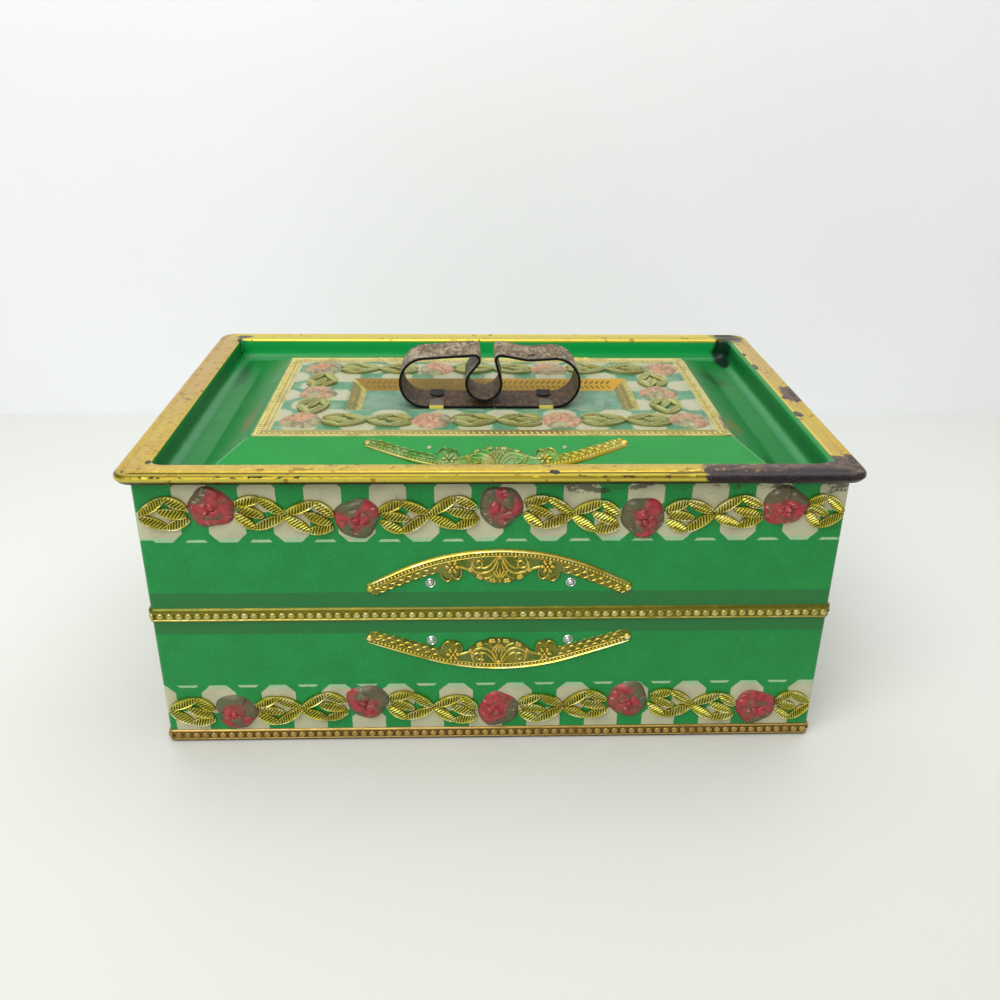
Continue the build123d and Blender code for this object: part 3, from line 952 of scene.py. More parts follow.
def rose(seed: int) -> bpy.types.Mesh:
    """Makes one embossed rose of overlapping rounded petals.

    Args:
        seed: Chooses its outline, its petals and where its red ink lies.

    Returns:
        The motif, about 12.5 mm across.
    """
    dice = random.Random(seed)
    radius, height = 6.3, 2.4
    turn = dice.uniform(0, math.tau)
    heart = Vector((dice.uniform(-0.12, 0.12), dice.uniform(-0.05, 0.2)))
    petals = [Petal(heart, 0.27, 1.0, 0.2)]
    for count, out, reach, lift in ((3, 0.34, 0.42, 0.9), (5, 0.68, 0.5, 0.74)):
        for number in range(count):
            angle = turn + math.tau * (number + dice.uniform(-0.2, 0.2)) / count + out
            middle = heart * (1 - out) + Vector((math.cos(angle), math.sin(angle))) * out
            red = 0.2 if dice.random() < 0.62 else -0.8
            wide, high = reach * dice.uniform(0.9, 1.12), lift * dice.uniform(0.93, 1.07)
            petals.append(Petal(middle, wide, high, red))
    lobes = [dice.uniform(0, math.tau) for _ in range(2)]
    ink_at = Vector((dice.uniform(-0.1, 0.25), dice.uniform(-0.1, 0.2)))

    def place(reach: float, angle: float) -> tuple[Vector, float, float]:
        """Lays one point of the rose."""
        edge = radius * (1 + 0.05 * math.sin(3 * angle + lobes[0]) + 0.035 * math.sin(5 * angle + lobes[1]))
        spot = Vector((math.cos(angle), math.sin(angle))) * reach
        ranked = sorted(petals, key=lambda petal: petal.rise(spot), reverse=True)
        top, gap = ranked[0], ranked[0].rise(spot) - ranked[1].rise(spot)
        crease = min(gap / 0.15, 1.0)
        rise = height * (1 - reach ** 7) * max(top.rise(spot) - 0.2 * (1 - crease), 0.56)
        far = (spot - ink_at).length + 0.08 * math.sin(4 * angle + turn)
        blush = 0.5 + (0.93 - far) * 1.6 + top.red
        crown = 1 - ((spot - top.middle).length / top.reach) ** 2
        # The tone is low in the creases between petals, where the rose ink paints shade, and high on the
        # petals' crowns, where it paints highlights.
        tone = 0.1 + 0.6 * crease + 0.4 * max(crown, 0.0)
        return Vector((spot.x * edge, spot.y * edge, rise - 0.06 * reach)), tone, blush
    return as_motif(domed_disc(48, 16, place))


@dataclass(frozen=True)
class Crescent:
    """The embossed crescent, its crown at the motif's origin.

    Its outer edge is an arc as far as bend to both sides and straight from there on.
    """

    bend: float = 30.0
    radius: float = 68.0
    half_width: float = 40.9
    line: float = 0.55
    ground: float = 0.5
    scales: int = 7

    def spot(self, reach: float, depth: float, level: float = 0.0) -> Vector:
        """Gives a point by its way along the outer edge and its depth below that edge."""
        limit = self.radius * math.asin(self.bend / self.radius)
        on_arc = max(-limit, min(limit, reach))
        angle, run = on_arc / self.radius, reach - on_arc
        inner = self.radius - depth
        return Vector((inner * math.sin(angle) + run * math.cos(angle),
                       inner * math.cos(angle) - run * math.sin(angle) - self.radius, level))

    def arc(self, reach: float, depth: float, steps: int) -> list[Vector]:
        """Gives a row of points along the edge, from one side to the other."""
        return [self.spot(reach * (2 * step / steps - 1), depth) for step in range(steps + 1)]

    def depth_at(self, reach: float) -> float:
        """Gives how deep the crescent is at one place along its edge."""
        reach = abs(reach)
        palmette = max(0.0, 1 - (reach / 11.2) ** 2) ** 0.5 * 7.6
        palmette += 0.35 * abs(math.cos(reach * math.pi / 2.3)) * (reach < 10.5)
        rosette = max(0.0, 1 - ((reach - 15.6) / 3.9) ** 2) ** 0.5 * 5.6
        scallop = 1.35 + 0.45 * abs(math.sin((reach - 18.5) * math.pi / 2.7))
        side = scallop - 0.55 * max(0.0, reach - 30.0) / 10.0
        return 3.4 + max(palmette, rosette, side)

    def plate(self) -> bmesh.types.BMesh:
        """Makes the low ground that the lines stand on."""
        def place(along: float, across: float) -> tuple[Vector, float]:
            """Lays one point of the ground."""
            reach = (2 * along - 1) * self.half_width
            swing = 2 * across - 1
            end = min(1.0, (self.half_width - abs(reach)) / 1.2 + 0.35)
            level = (1 - swing ** 14) * (self.ground + 0.04) * end - 0.04
            spot = self.spot(reach, across * self.depth_at(reach), level)
            return spot, 0.16 if abs(swing) < 0.8 else 0.02
        return close_under(bent_grid(160, 8, place))

    def curl(self, middle: tuple[float, float], start: float, turns: float, outer: float, inner: float,
             steps: int = 18) -> list[Vector]:
        """Gives the points of a scroll that winds inwards.

        Args:
            middle: The scroll's middle, across and down.
            start: The direction of its first point in degrees.
            turns: How many times it winds, negative for clockwise.
            outer: Its radius at the start.
            inner: Its radius at the end.
            steps: Points along it.

        Returns:
            The points.
        """
        points = []
        for step in range(steps + 1):
            share = step / steps
            angle = math.radians(start + 360 * turns * share)
            reach = outer + (inner - outer) * share
            off = Vector((math.cos(angle), math.sin(angle), 0)) * reach
            points.append(Vector((*middle, 0)) + off)
        return points

    def bow(self, reach: float, depth: float, half: float, drop: float, step: int) -> list[Vector]:
        """Gives the points of a rounded lobe that opens towards the edge."""
        return [self.spot(reach + half * math.cos(math.radians(a)), depth + drop * math.sin(math.radians(a)))
                for a in range(0, 181, step)]

    def lines(self, side: int) -> list[tuple[list[Vector], float]]:
        """Lists the raised lines of one half.

        Args:
            side: -1 for the left half and 1 for the right.

        Returns:
            Each line's points and its width.
        """
        found = []
        for number in range(self.scales):
            reach = 2.7 * number
            found.append((self.bow(side * (20.9 + reach), 3.0, 1.3, 1.55 - 0.07 * number, 20), self.line))
            found.append((self.bow(side * (19.7 + reach), 1.9, 1.25, 1.1, 20), self.line))
        found += [(self.bow(side * reach, 5.0, 1.75, 3.2, 20), self.line) for reach in (13.9, 17.2)]
        stem = ((0.7, -2.6), (1.1, -4.2), (2.0, -6.0), (3.5, -7.3), (5.4, -7.7), (7.3, -7.0), (8.3, -5.4),
                (8.0, -3.8))
        leaf = ((0.9, -2.2), (1.7, -3.4), (2.9, -5.0), (4.2, -5.9), (5.5, -5.8))
        rib = ((0.5, -3.6), (0.7, -5.4), (1.6, -7.6), (3.0, -9.0), (4.4, -9.3))
        tie = ((8.6, -6.6), (9.8, -6.0), (11.2, -5.6), (12.4, -5.4))
        for points, width in ((stem, 0.95), (leaf, 0.8), (rib, 0.7), (tie, 0.9)):
            found.append(([Vector((side * x, y, 0)) for x, y in points], width))
        found.append((self.curl((side * 6.2, -4.4), 60 if side > 0 else 120, -side * 1.25, 1.9, 0.45), 0.8))
        found.append((self.curl((side * 4.6, -2.6), 270, side * 0.85, 0.95, 0.4, 12), 0.6))
        twist = ((36.8, 3.9), (37.9, 2.6), (39.2, 2.2), (40.0, 3.2), (39.3, 4.0), (38.6, 3.3))
        found.append(([self.spot(side * reach, depth) for reach, depth in twist], 0.6))
        return found

    def build(self) -> bpy.types.Mesh:
        """Makes the motif.

        Returns:
            The crescent, about 80 mm by 12 mm, crown up.
        """
        made = Relief()
        made.lay(self.plate())
        made.lay(ridge(self.arc(self.half_width - 0.5, 0.48, 64), 1.2, 0.95))
        made.lay(ridge(self.arc(self.half_width - 2.6, 1.95, 64), 0.4, 0.3, self.ground, shine=0.66))
        pearl = as_motif(bead(0.5, 0.42, 7, 2, 0.85))
        for step in range(-34, 35):
            made.stamp(pearl, Matrix.Translation(self.spot(step * 1.14, 1.3, self.ground)))
        petal = as_motif(bead(1.0, 0.6, 8, 3, 0.72))
        lobe = as_motif(bead(0.9, 0.5, 8, 3, 0.7))
        knob = as_motif(bead(1.25, 0.95, 10, 3))
        flat = Face(Vector(), Vector((1, 0, 0)), Vector((0, 1, 0)))
        for side in (-1, 1):
            for points, width in self.lines(side):
                made.lay(ridge(points, width, 0.42, self.ground, shine=0.74))
            middle = self.spot(side * 14.7, 4.0, self.ground)
            for turn in range(0, 360, 60):
                where = Matrix.Translation(middle) @ Matrix.Rotation(math.radians(turn), 4, "Z")
                out = where @ Matrix.Translation((1.45, 0, 0))
                made.stamp(petal, out @ Matrix.Diagonal((1.0, 0.62, 0.95, 1)))
            made.stamp(petal, Matrix.Translation(middle) @ Matrix.Diagonal((0.6, 0.6, 1.3, 1)))
            made.stamp(knob, Matrix.Translation(self.spot(side * 40.4, 1.9, 0.1)))
            for number in range(5):
                turn = math.radians(22 + 32 * number * 0.82)
                edge = Vector((side * 9.2 * math.cos(turn), -4.3 - 5.9 * math.sin(turn), self.ground - 0.06))
                made.stamp(lobe, Matrix.Translation(edge))
        for turn in (-34, -17, 0, 17, 34):
            fan = flat.at(0, -9.9, turn + 90) @ Matrix.Translation((2.4, 0, self.ground))
            made.stamp(petal, fan @ Matrix.Diagonal((2.3, 0.36, 0.9, 1)))
        lift = Matrix.Translation((0, 0, 0.14))
        for y, size in ((-10.1, (0.55, 0.9, 1.3)), (-2.4, (1.0, 0.9, 1.5))):
            made.stamp(petal, lift @ flat.at(0, y, 0, size))
        for motif in (pearl, petal, lobe, knob):
            bpy.data.meshes.remove(motif)
        return as_motif(made.made)


# ---------------------------------------------------------------- decoration of one face
@dataclass(frozen=True)
class Leafage:
    """The place of one leaf cluster."""

    x: float
    y: float
    turn: float
    room: float = 1.0


@dataclass(frozen=True)
class Garland:
    """A row of roses with two leaf clusters between neighbours."""

    line: float
    lean: int
    shift: float = 1.8
    pitch: float = 40.2
    offset: float = 13.1
    sway: float = 1.7
    drop: float = 0.5
    tilt: float = 6.0
    rose_reach: float = 5.4
    leaf_reach: float = 7.4
    shortest: float = 9.0
    margin: float = 0.5

    def places(self, numbers: Iterable[int], room: float) -> tuple[list[tuple[float, float]], list[Leafage]]:
        """Spaces the garland.

        Args:
            numbers: Counts the roses from the middle one.
            room: How far it may reach to both sides.

        Returns:
            The roses' places, and the leaf clusters with their turns and lengths.
        """
        roses, leaves = [], []
        for number in numbers:
            x = self.shift + self.pitch * number
            wave = self.lean * (1 - 2 * (number % 2))
            if abs(x) < room - self.rose_reach:
                roses.append((x, self.line + self.sway * wave))
            for step, turn in ((self.offset, 0.0), (self.pitch - self.offset, 180.0)):
                middle, reach, edge = x + step, self.leaf_reach, room - self.margin
                low, high = max(middle - reach, -edge), min(middle + reach, edge)
                if high - low > self.shortest:
                    sway = self.sway * wave * (1 - 2 * step / self.pitch)
                    y = self.line + sway - self.drop * abs(self.lean)
                    share = (high - low) / (2 * reach)
                    leaves.append(Leafage((low + high) / 2, y, turn - self.tilt * wave, share))
        return roses, leaves


class Motifs:
    """The motifs that are stamped many times, made once."""

    def __init__(self) -> None:
        """Makes every motif."""
        self.cluster = leaf_cluster()
        self.roses = [rose(seed) for seed in (3, 8, 11, 19, 27, 42)]
        self.crescents = {bend: Crescent(bend).build() for bend in (22.0, 30.0)}
        self.pearl = as_motif(bead(0.85, 0.75, 16, 5))
        turns = [step * math.tau / 16 for step in range(16)]
        ring = [1.3 * Vector((math.cos(turn), math.sin(turn), 0)) for turn in turns]
        self.pearl_ring = as_motif(ridge(ring, 0.5, 0.3, closed=True))
        self.count = 0

    def lay_garland(self, face: Face, leaves: Relief, roses: Relief, rose_at: Iterable[tuple[float, float]],
                    leaf_at: Iterable[Leafage], rise: float = 1.0) -> None:
        """Stamps roses and leaf clusters on a face.

        Args:
            face: The face.
            leaves: Gathers the leaf clusters.
            roses: Gathers the roses.
            rose_at: The roses' places.
            leaf_at: The clusters' places.
            rise: How high they all stand, as a share of the walls' ones.
        """
        for spot in leaf_at:
            leaves.stamp(self.cluster, face.at(spot.x, spot.y, spot.turn, (spot.room, 1, rise)))
        for x, y in rose_at:
            self.count += 1
            motif = self.roses[self.count * 5 % len(self.roses)]
            roses.stamp(motif, face.at(x, y, 47 * self.count % 360, (0.98, 1.04, rise)))


# ---------------------------------------------------------------- finishes of the lid and the handle
@dataclass(frozen=True)
class Worn:
    """One worn place on the lid: its middle and how far it reaches, in millimetres."""

    x: float
    y: float
    reach_x: float
    reach_y: float

    def mask(self, g: Graph, ragged: Signal, soft: float) -> Signal:
        """Marks the place.

        Args:
            g: The material.
            ragged: Noise that breaks its edge.
            soft: How soft its edge is.

        Returns:
            One inside the place.
        """
        far_x = (g.x - self.x) * (1 / self.reach_x)
        far_y = (g.y - self.y) * (1 / self.reach_y)
        far = (far_x * far_x + far_y * far_y).math("SQRT")
        return (far + (ragged - 0.5) * 1.6).below(1.0, soft)


def worn(g: Graph, places: Sequence[Worn], ragged: Signal, soft: float = 0.1) -> Signal:
    """Joins several worn places in one mask."""
    masks = [place.mask(g, ragged, soft) for place in places]
    total = masks[0]
    for mask in masks[1:]:
        total = total.most(mask)
    return total


BARE_RIM = (Worn(101.8, -3.0, 3.8, 7.5), Worn(97.8, -22.5, 1.5, 2.6), Worn(97.4, 27.0, 1.1, 3.2),
            Worn(97.2, 41.5, 0.9, 2.0), Worn(16.5, -67.2, 1.5, 1.5))
BLACK_WELL = (Worn(96.0, 64.5, 5.2, 7.5), Worn(93.0, 58.0, 2.6, 8.0), Worn(-94.6, 64.6, 3.2, 2.4),
              Worn(-95.6, 61.0, 0.8, 2.5), Worn(-95.8, -60.2, 0.9, 1.7))
DARK_SLOPE = (Worn(84.0, 32.0, 4.5, 6.0), Worn(83.0, -46.0, 2.0, 4.0), Worn(-90.5, 40.0, 2.0, 12.0))
GOLD_SMEAR = (Worn(-76.2, -18.0, 2.0, 12.0), Worn(77.2, -24.0, 2.6, 8.0))
FIELD_STAIN = (Worn(-31.0, -40.0, 8.0, 1.0), Worn(73.5, -28.0, 1.6, 9.0), Worn(72.0, -39.5, 4.0, 0.9))


@dataclass(frozen=True)
class LidPrint:
    """The lid's printed sheet: gilt rolled rim, green well and slopes, pale chequered field, worn places, and
    painted light and shade on the well, slopes and rim.
    """

    name: str
    sizes: "LidSizes"
    shift: float = 1.0
    gilt_reach: float = 4.2
    slope_green: str = "068630"
    well_shade_green: str = "0c7c34"
    gilt: str = "ccb040"
    roll_gilt: str = "b0a02a"
    panel_ground: str = "3c7a56"
    panel_cream: str = "a8a788"
    border: str = "b4a868"
    gingham: Gingham = Gingham(18.0, 9.5, 5.1, 7.4)

    def build(self) -> bpy.types.Material:
        """Makes the material.

        Returns:
            The finish of the lid.
        """
        g = Graph(self.name)
        printed_x = abs(g.x - self.shift)
        drop = (-g.z) + TIN.rim_top
        inset_x, inset_y = (-abs(g.x)) + TIN.half_x, (-abs(g.y)) + TIN.half_y
        inset = inset_x.least(inset_y)
        sizes = self.sizes
        steeper = (sizes.panel_inset - sizes.hip_foot) / (sizes.panel_inset - sizes.end_foot)
        climb_x = (inset_x - sizes.end_foot) * steeper + sizes.hip_foot
        reach = ((-printed_x) + TIN.half_x).least((-abs(g.y)) + TIN.half_y - 1.4) + drop
        mottle = g.noise(11.0, 4.0)
        speck = g.noise(0.5, 1.0, shift=3.0)
        ragged = g.noise(5.0, 5.0, shift=12.0)
        green = g.paint(g.colour(self.slope_green), "0a7a2c", mottle.above(0.52, 0.15) * 0.5)
        green = g.paint(green, "2aa04e", speck.above(0.7, 0.05) * 0.35)
        green = g.paint(green, "0c5a24", speck.below(0.31, 0.05) * 0.4)
        # Painted shade: the well walls inside the rim are painted a darker green than the slopes.
        green = g.paint(green, self.well_shade_green, g.z.above(85.6, 0.9) * inset.below(5.6, 0.4))
        # Painted shade: the steeper end slopes are painted a darker green.
        end_slope_shade = (inset_y - climb_x).above(0.0, 0.2) * inset.above(5.6, 0.4)
        green = g.paint(green, "0a5c2e", end_slope_shade * 0.5)
        # Painted shade: the left and right well walls are painted darker still.
        well = g.z.between(85.2, 89.6, 0.8) * inset.below(5.6, 0.4) * abs(g.x).above(94.0, 0.3)
        green = g.paint(green, "08602e", well * 0.7)
        # Painted light: the back well wall is painted a lighter green.
        green = g.paint(green, "12a04c", g.z.above(85.4, 0.6) * inset.below(5.6, 0.4) * g.y.above(58.0, 1.0))
        # Painted reflection: a paler green sheen along the channel at the foot of the well.
        channel = g.z.below(84.8, 0.3) * inset.between(5.0, 7.8, 0.5)
        green = g.paint(green, "4a9466", channel * 0.5)
        # Painted highlight: a pale line along each front hip crease.
        hip = abs(climb_x - inset_y).below(0.35, 0.15) * inset_y.between(7.8, 26.8, 0.4) * g.y.below(0.0, 1.0)
        green = g.paint(green, "6fbf86", hip * 0.45)
        smear = g.noise(4.0, 5.0, (2.5, 1.0, 1.0), 31.0)
        green = g.paint(green, "6f5a14", worn(g, GOLD_SMEAR, ragged, 0.4) * smear.above(0.42, 0.2) * 0.7)
        green = g.paint(green, "0a3a1e", worn(g, DARK_SLOPE, ragged, 0.5) * 0.6)
        colour = g.paint(green, self.field(g, printed_x, mottle, speck),
                         self.panel_in(g, printed_x).above(0.0, 0.06))
        on_rim = reach.below(self.gilt_reach, 0.12)
        rim, metal = self.rim(g, inset, reach, ragged, speck)
        colour = g.paint(colour, rim, on_rim)
        colour = g.paint(colour, "0b1a16", worn(g, BLACK_WELL, ragged, 0.3) * 0.95)
        g.bump(g.noise(24.0, 2.0, shift=2.0), 0.5)
        g.bump(g.noise(1.5, 3.0, shift=7.0), 0.02)
        rough = g.noise(7.0, 3.0) * 0.2 + 0.24
        return g.finish(colour, rough, on_rim * metal, 0.08, 0.16, 0.25)

    def panel_in(self, g: Graph, printed_x: Signal) -> Signal:
        """Measures how far a point lies inside the raised panel's printed edge."""
        edge = self.sizes.panel_inset
        return ((-printed_x) + (TIN.half_x - edge)).least((-abs(g.y)) + (TIN.half_y - edge))

    def field(self, g: Graph, printed_x: Signal, mottle: Signal, speck: Signal) -> bpy.types.NodeSocket:
        """Colours the raised panel and its window.

        Args:
            g: The material.
            printed_x: The distance from the print's middle.
            mottle: Broad noise.
            speck: Fine noise.

        Returns:
            The colour inside the panel's edge.
        """
        grain = g.noise(1.6, 3.0, shift=17.0)
        octagons = self.gingham.mask(g.x - 4.0, g.y + 20.5, grain)
        ground = g.paint(g.colour(self.panel_ground), "5a9070", mottle.above(0.5, 0.15) * 0.5)
        ground = g.paint(ground, "2c5c40", speck.below(0.36, 0.06) * 0.5)
        rimmed = self.gingham.mask(g.x - 4.0, g.y + 20.5, grain, 0.7)
        ground = g.paint(ground, "68906c", rimmed * 0.7)
        cream = g.paint(g.colour(self.panel_cream), "9da084", speck.above(0.62, 0.08) * 0.5)
        colour = g.paint(ground, cream, octagons)
        rubbed = g.noise(6.0, 6.0, shift=21.0)
        colour = g.paint(colour, "8fa07a", rubbed.above(0.58, 0.08) * 0.45)
        panel_in = self.panel_in(g, printed_x)
        front = g.y.below(-34.0, 0.5)
        edge = g.paint(g.colour(self.border), "8f8440", front * 0.8)
        edge = g.paint(edge, "c9c070", panel_in.between(0.1, 1.3, 0.25) * 0.85)
        edge = g.paint(edge, "7d7434", rubbed.above(0.56, 0.1) * 0.5)
        bald = front * self.near_x(g, 8.0, 15.0) * panel_in.above(1.4, 0.2)
        edge = g.paint(edge, "6f5c28", bald * 0.85)
        colour = g.paint(colour, edge, panel_in.below(4.7, 0.1))
        window_x = (-printed_x) + self.sizes.window[0]
        window_y = (-abs(g.y)) + self.sizes.window[1]
        inside = window_x.least(window_y)
        slope = g.paint(g.colour("8f8636"), "aaa050", g.noise(2.0, 3.0, shift=2.0).above(0.5, 0.12))
        back = g.y.above(9.6, 0.1) * (window_x * 1.36 - window_y).above(0.0, 0.2)
        gold = g.paint(g.colour("86661a"), "b48a12", g.x.above(2.0, 8.0))
        slope = g.paint(slope, gold, back)
        hollow = g.paint(g.colour("4f8262"), "73907a", rubbed.above(0.48, 0.1) * 0.7)
        hollow = g.paint(hollow, "466250", g.noise(2.5, 5.0, (1.0, 3.0, 1.0), 14.0).above(0.6, 0.06) * 0.5)
        floor_x = (-printed_x) + self.sizes.window_floor[0]
        floor_y = (-abs(g.y)) + self.sizes.window_floor[1]
        slope = g.paint(slope, hollow, floor_x.least(floor_y).above(0.0, 0.1))
        colour = g.paint(colour, slope, inside.above(0.0, 0.08))
        return g.paint(colour, "3c2c18", worn(g, FIELD_STAIN, rubbed, 0.3) * 0.8)

    def rim(self, g: Graph, inset: Signal, reach: Signal, ragged: Signal,
            speck: Signal) -> tuple[bpy.types.NodeSocket, Signal]:
        """Colours the rolled rim and marks where its lacquer is gone.

        Args:
            g: The material.
            inset: The distance in from the nearest wall.
            reach: The distance along the sheet from the print's outer edge.
            ragged: Noise for broken edges.
            speck: Fine noise.

        Returns:
            The colour and how metallic it is.
        """
        rubs = g.noise(3.2, 5.0, (1.0, 1.0, 2.0), 26.0)
        front = g.y.below(-65.0, 0.8)
        back = g.y.above(61.0, 0.3) * abs(g.x).below(99.0, 1.5)
        roll = inset.below(-1.25, 0.15)
        gilt = g.paint(g.colour(self.gilt), "c4964a", g.noise(9.0, 5.0, shift=6.0).above(0.55, 0.12) * 0.4)
        gilt = g.paint(gilt, "c4a25a", g.x.below(-95.0, 1.0) * g.y.above(-15.0, 25.0) * 0.85)
        gilt = g.paint(gilt, "c8a85e", g.x.above(95.0, 1.0) * g.y.above(10.0, 6.0) * 0.85)
        grimy = g.noise(1.6, 6.0, shift=71.0)
        left = abs(g.x).above(95.0, 1.0) * g.x.below(0.0, 1.0)
        gilt = g.paint(gilt, "a87e38", grimy.above(0.54, 0.1) * left * 0.4)
        gilt = g.paint(gilt, "e8cc5a", grimy.below(0.42, 0.05) * 0.6 * abs(g.x).below(95.0, 1.0))
        gilt = g.paint(gilt, "d2c046", back * 0.85)
        # Painted light and shade on the front roll, by height: a pale band as painted highlight, and a darker
        # lower side and a near-black underside as painted shade; a dark band near the top is broken by noise.
        roll_light_and_shade = g.paint(g.colour(self.roll_gilt), "e8da68", g.z.between(90.3, 90.85, 0.12) * 0.85)
        roll_light_and_shade = g.paint(roll_light_and_shade, "6a581c", g.z.between(91.15, 91.6, 0.1) * rubs.above(0.34, 0.1) * 0.85)
        roll_light_and_shade = g.paint(roll_light_and_shade, "7c6c24", g.z.below(90.05, 0.2) * 0.95)
        roll_light_and_shade = g.paint(roll_light_and_shade, "241c14", g.z.below(89.6, 0.15))
        gilt = g.paint(gilt, roll_light_and_shade, roll * front)
        # Painted shade: a dark line in the crease between the front roll and the flat band.
        gilt = g.paint(gilt, "4f4612", inset.between(-1.5, -0.95, 0.12) * front * 0.9)
        # Painted highlight: a bright band along the rim's inner bend.
        gilt = g.paint(gilt, "e9d25a", reach.between(3.3, 4.2, 0.15) * 0.6)
        gilt = g.paint(gilt, "8a6420", rubs.above(0.64, 0.02) * 0.7)
        gilt = g.paint(gilt, "40301c", g.noise(1.7, 4.0, shift=41.0).above(0.71, 0.015) * 0.9)
        chips = g.noise(2.0, 3.0, (1.2, 1.0, 0.6), 33.0)
        chipped = self.near_x(g, -74, 28) + self.near_x(g, 37, 16) * 0.8
        groove = g.z.between(91.05, 91.6, 0.15).most(g.z.below(89.9, 0.2)) * roll * front
        groove = groove * chipped * chips.above(0.56, 0.02)
        gilt = g.paint(gilt, "1d1712", groove.least(1.0))
        scrape = g.noise(2.0, 4.0, (3.0, 0.6, 1.0), 47.0).above(0.55, 0.03) * self.near_x(g, 45, 13)
        gilt = g.paint(gilt, "5a4424", scrape * g.y.between(-69.0, -66.2, 0.4) * 0.9)
        wander = (ragged - 0.5) * 9.0
        corner = (g.x + wander + (speck - 0.5) * 4.0).above(58.5, 0.6) * g.y.below(-61.8, 0.4)
        corner = corner.most((g.y + wander).below(-55.0, 0.6) * g.x.above(92.0, 0.5))
        bare = corner.most(worn(g, BARE_RIM, ragged))
        rust = g.paint(g.colour("4e382c"), "7d6450", speck.above(0.56, 0.08) * 0.7)
        rust = g.paint(rust, "261a1c", g.noise(2.6, 5.0, shift=51.0).above(0.48, 0.08) * 0.8)
        spared = g.noise(1.8, 4.0, shift=61.0).above(0.6, 0.05) * g.x.below(80.0, 8.0)
        rust = g.paint(rust, "a07c34", spared * 0.7)
        outer = (g.y - (ragged - 0.5) * 4.0).below(-66.8, 0.4).most(g.z.below(91.2, 0.2))
        outer = outer.most(g.x.between(85.0, 95.5, 1.0) * g.y.below(-63.8, 0.5)) * g.x.below(98.5, 1.5)
        rust = g.paint(rust, "1a1218", outer * front * 0.92)
        rust = g.paint(rust, "463c4c", outer * front * speck.above(0.62, 0.06) * 0.6)
        return g.paint(gilt, rust, bare), bare.flip() * 0.75

    def near_x(self, g: Graph, x: float, reach: float) -> Signal:
        """Is one near one place along X."""
        return abs(g.x - x).below(reach, reach * 0.25)


@dataclass(frozen=True)
class LugTin:
    """A lug's finish: a leg painted bright yellow as its lit face, and a tongue painted dark as shade."""

    name: str
    leg: str = "fff07c"
    tongue: str = "3a2c10"
    leg_from: float = 8.05

    def build(self) -> bpy.types.Material:
        """Makes the material.

        Returns:
            The finish of the front lugs.
        """
        g = Graph(self.name)
        # Painted shade: the tongue is dark brown; painted light: the leg is bright yellow.
        dark = g.paint(g.colour(self.tongue), "6b5418", g.noise(1.5, 3.0).above(0.5, 0.1) * 0.6)
        leg = abs(g.y).above(self.leg_from, 0.05)
        g.bump(g.noise(1.0, 3.0, shift=2.0), 0.015)
        return g.finish(g.paint(dark, self.leg, leg), 0.3, leg * 0.6, 0.0, 0.15, 0.3)


@dataclass(frozen=True)
class AgedStrip:
    """The handle's tinned strip: clouded pinkish grey faces, black cut edges and painted shade on its lower
    parts.
    """

    name: str
    half_width: float = 8.0

    def build(self) -> bpy.types.Material:
        """Makes the material.

        Returns:
            The finish of the handle.
        """
        g = Graph(self.name)
        cloud = g.noise(4.5, 6.0, (1.0, 1.6, 1.0))
        grit = g.noise(0.7, 3.0, shift=5.0)
        colour = g.paint(g.colour("8e7e5e"), "5e4e38", cloud.above(0.5, 0.1) * 0.75)
        colour = g.paint(colour, "a89c84", cloud.below(0.42, 0.08) * 0.7)
        grime = g.noise(1.3, 4.0, (1.0, 2.0, 1.0), 33.0)
        colour = g.paint(colour, "463a2c", grime.above(0.55, 0.05) * 0.7)
        colour = g.paint(colour, "b8ac92", grime.below(0.42, 0.04) * g.z.above(99.0, 3.0) * 0.5)
        colour = g.paint(colour, "6b4a3a", g.noise(3.0, 5.0, shift=19.0).above(0.58, 0.06) * 0.5)
        # Painted shade: the lower parts of the strip are painted dark brown, broken by grime, and kept from
        # looking metallic.
        low = (g.z + cloud * 4.0).below(99.0, 4.0)
        colour = g.paint(colour, g.paint(g.colour("36220e"), "6b4c2c", grime.above(0.5, 0.08)), low * 0.92)
        colour = g.paint(colour, "3a302c", grit.above(0.62, 0.06) * 0.5)
        far_x, far_y = g.x - 13.5, g.y + 3.5
        far = (far_x * far_x + far_y * far_y).math("SQRT") + (cloud - 0.5) * 4.0
        colour = g.paint(colour, "1c1a1c", far.below(1.7, 0.3) * g.z.above(104.0, 0.5))
        edge = abs(g.y).above(self.half_width - 0.45, 0.1)
        colour = g.paint(colour, "0c0b0e", edge)
        g.bump(grit, 0.05)
        g.bump(cloud, 0.15)
        rough = grit * 0.2 + 0.42
        return g.finish(colour, rough, edge.flip() * low.flip() * 0.35, 0.0, 0.3, 0.2)


# ---------------------------------------------------------------- sub-assemblies
@dataclass(frozen=True)
class TierSizes:
    """Where one tier's decoration lies, in millimetres above the table."""

    garland: Garland
    crown: float
    crown_turn: float
    pearl: float
    bend: float
    pearls: tuple[float, float] = (-20.2, 20.6)
    ring_off: float = 0.1


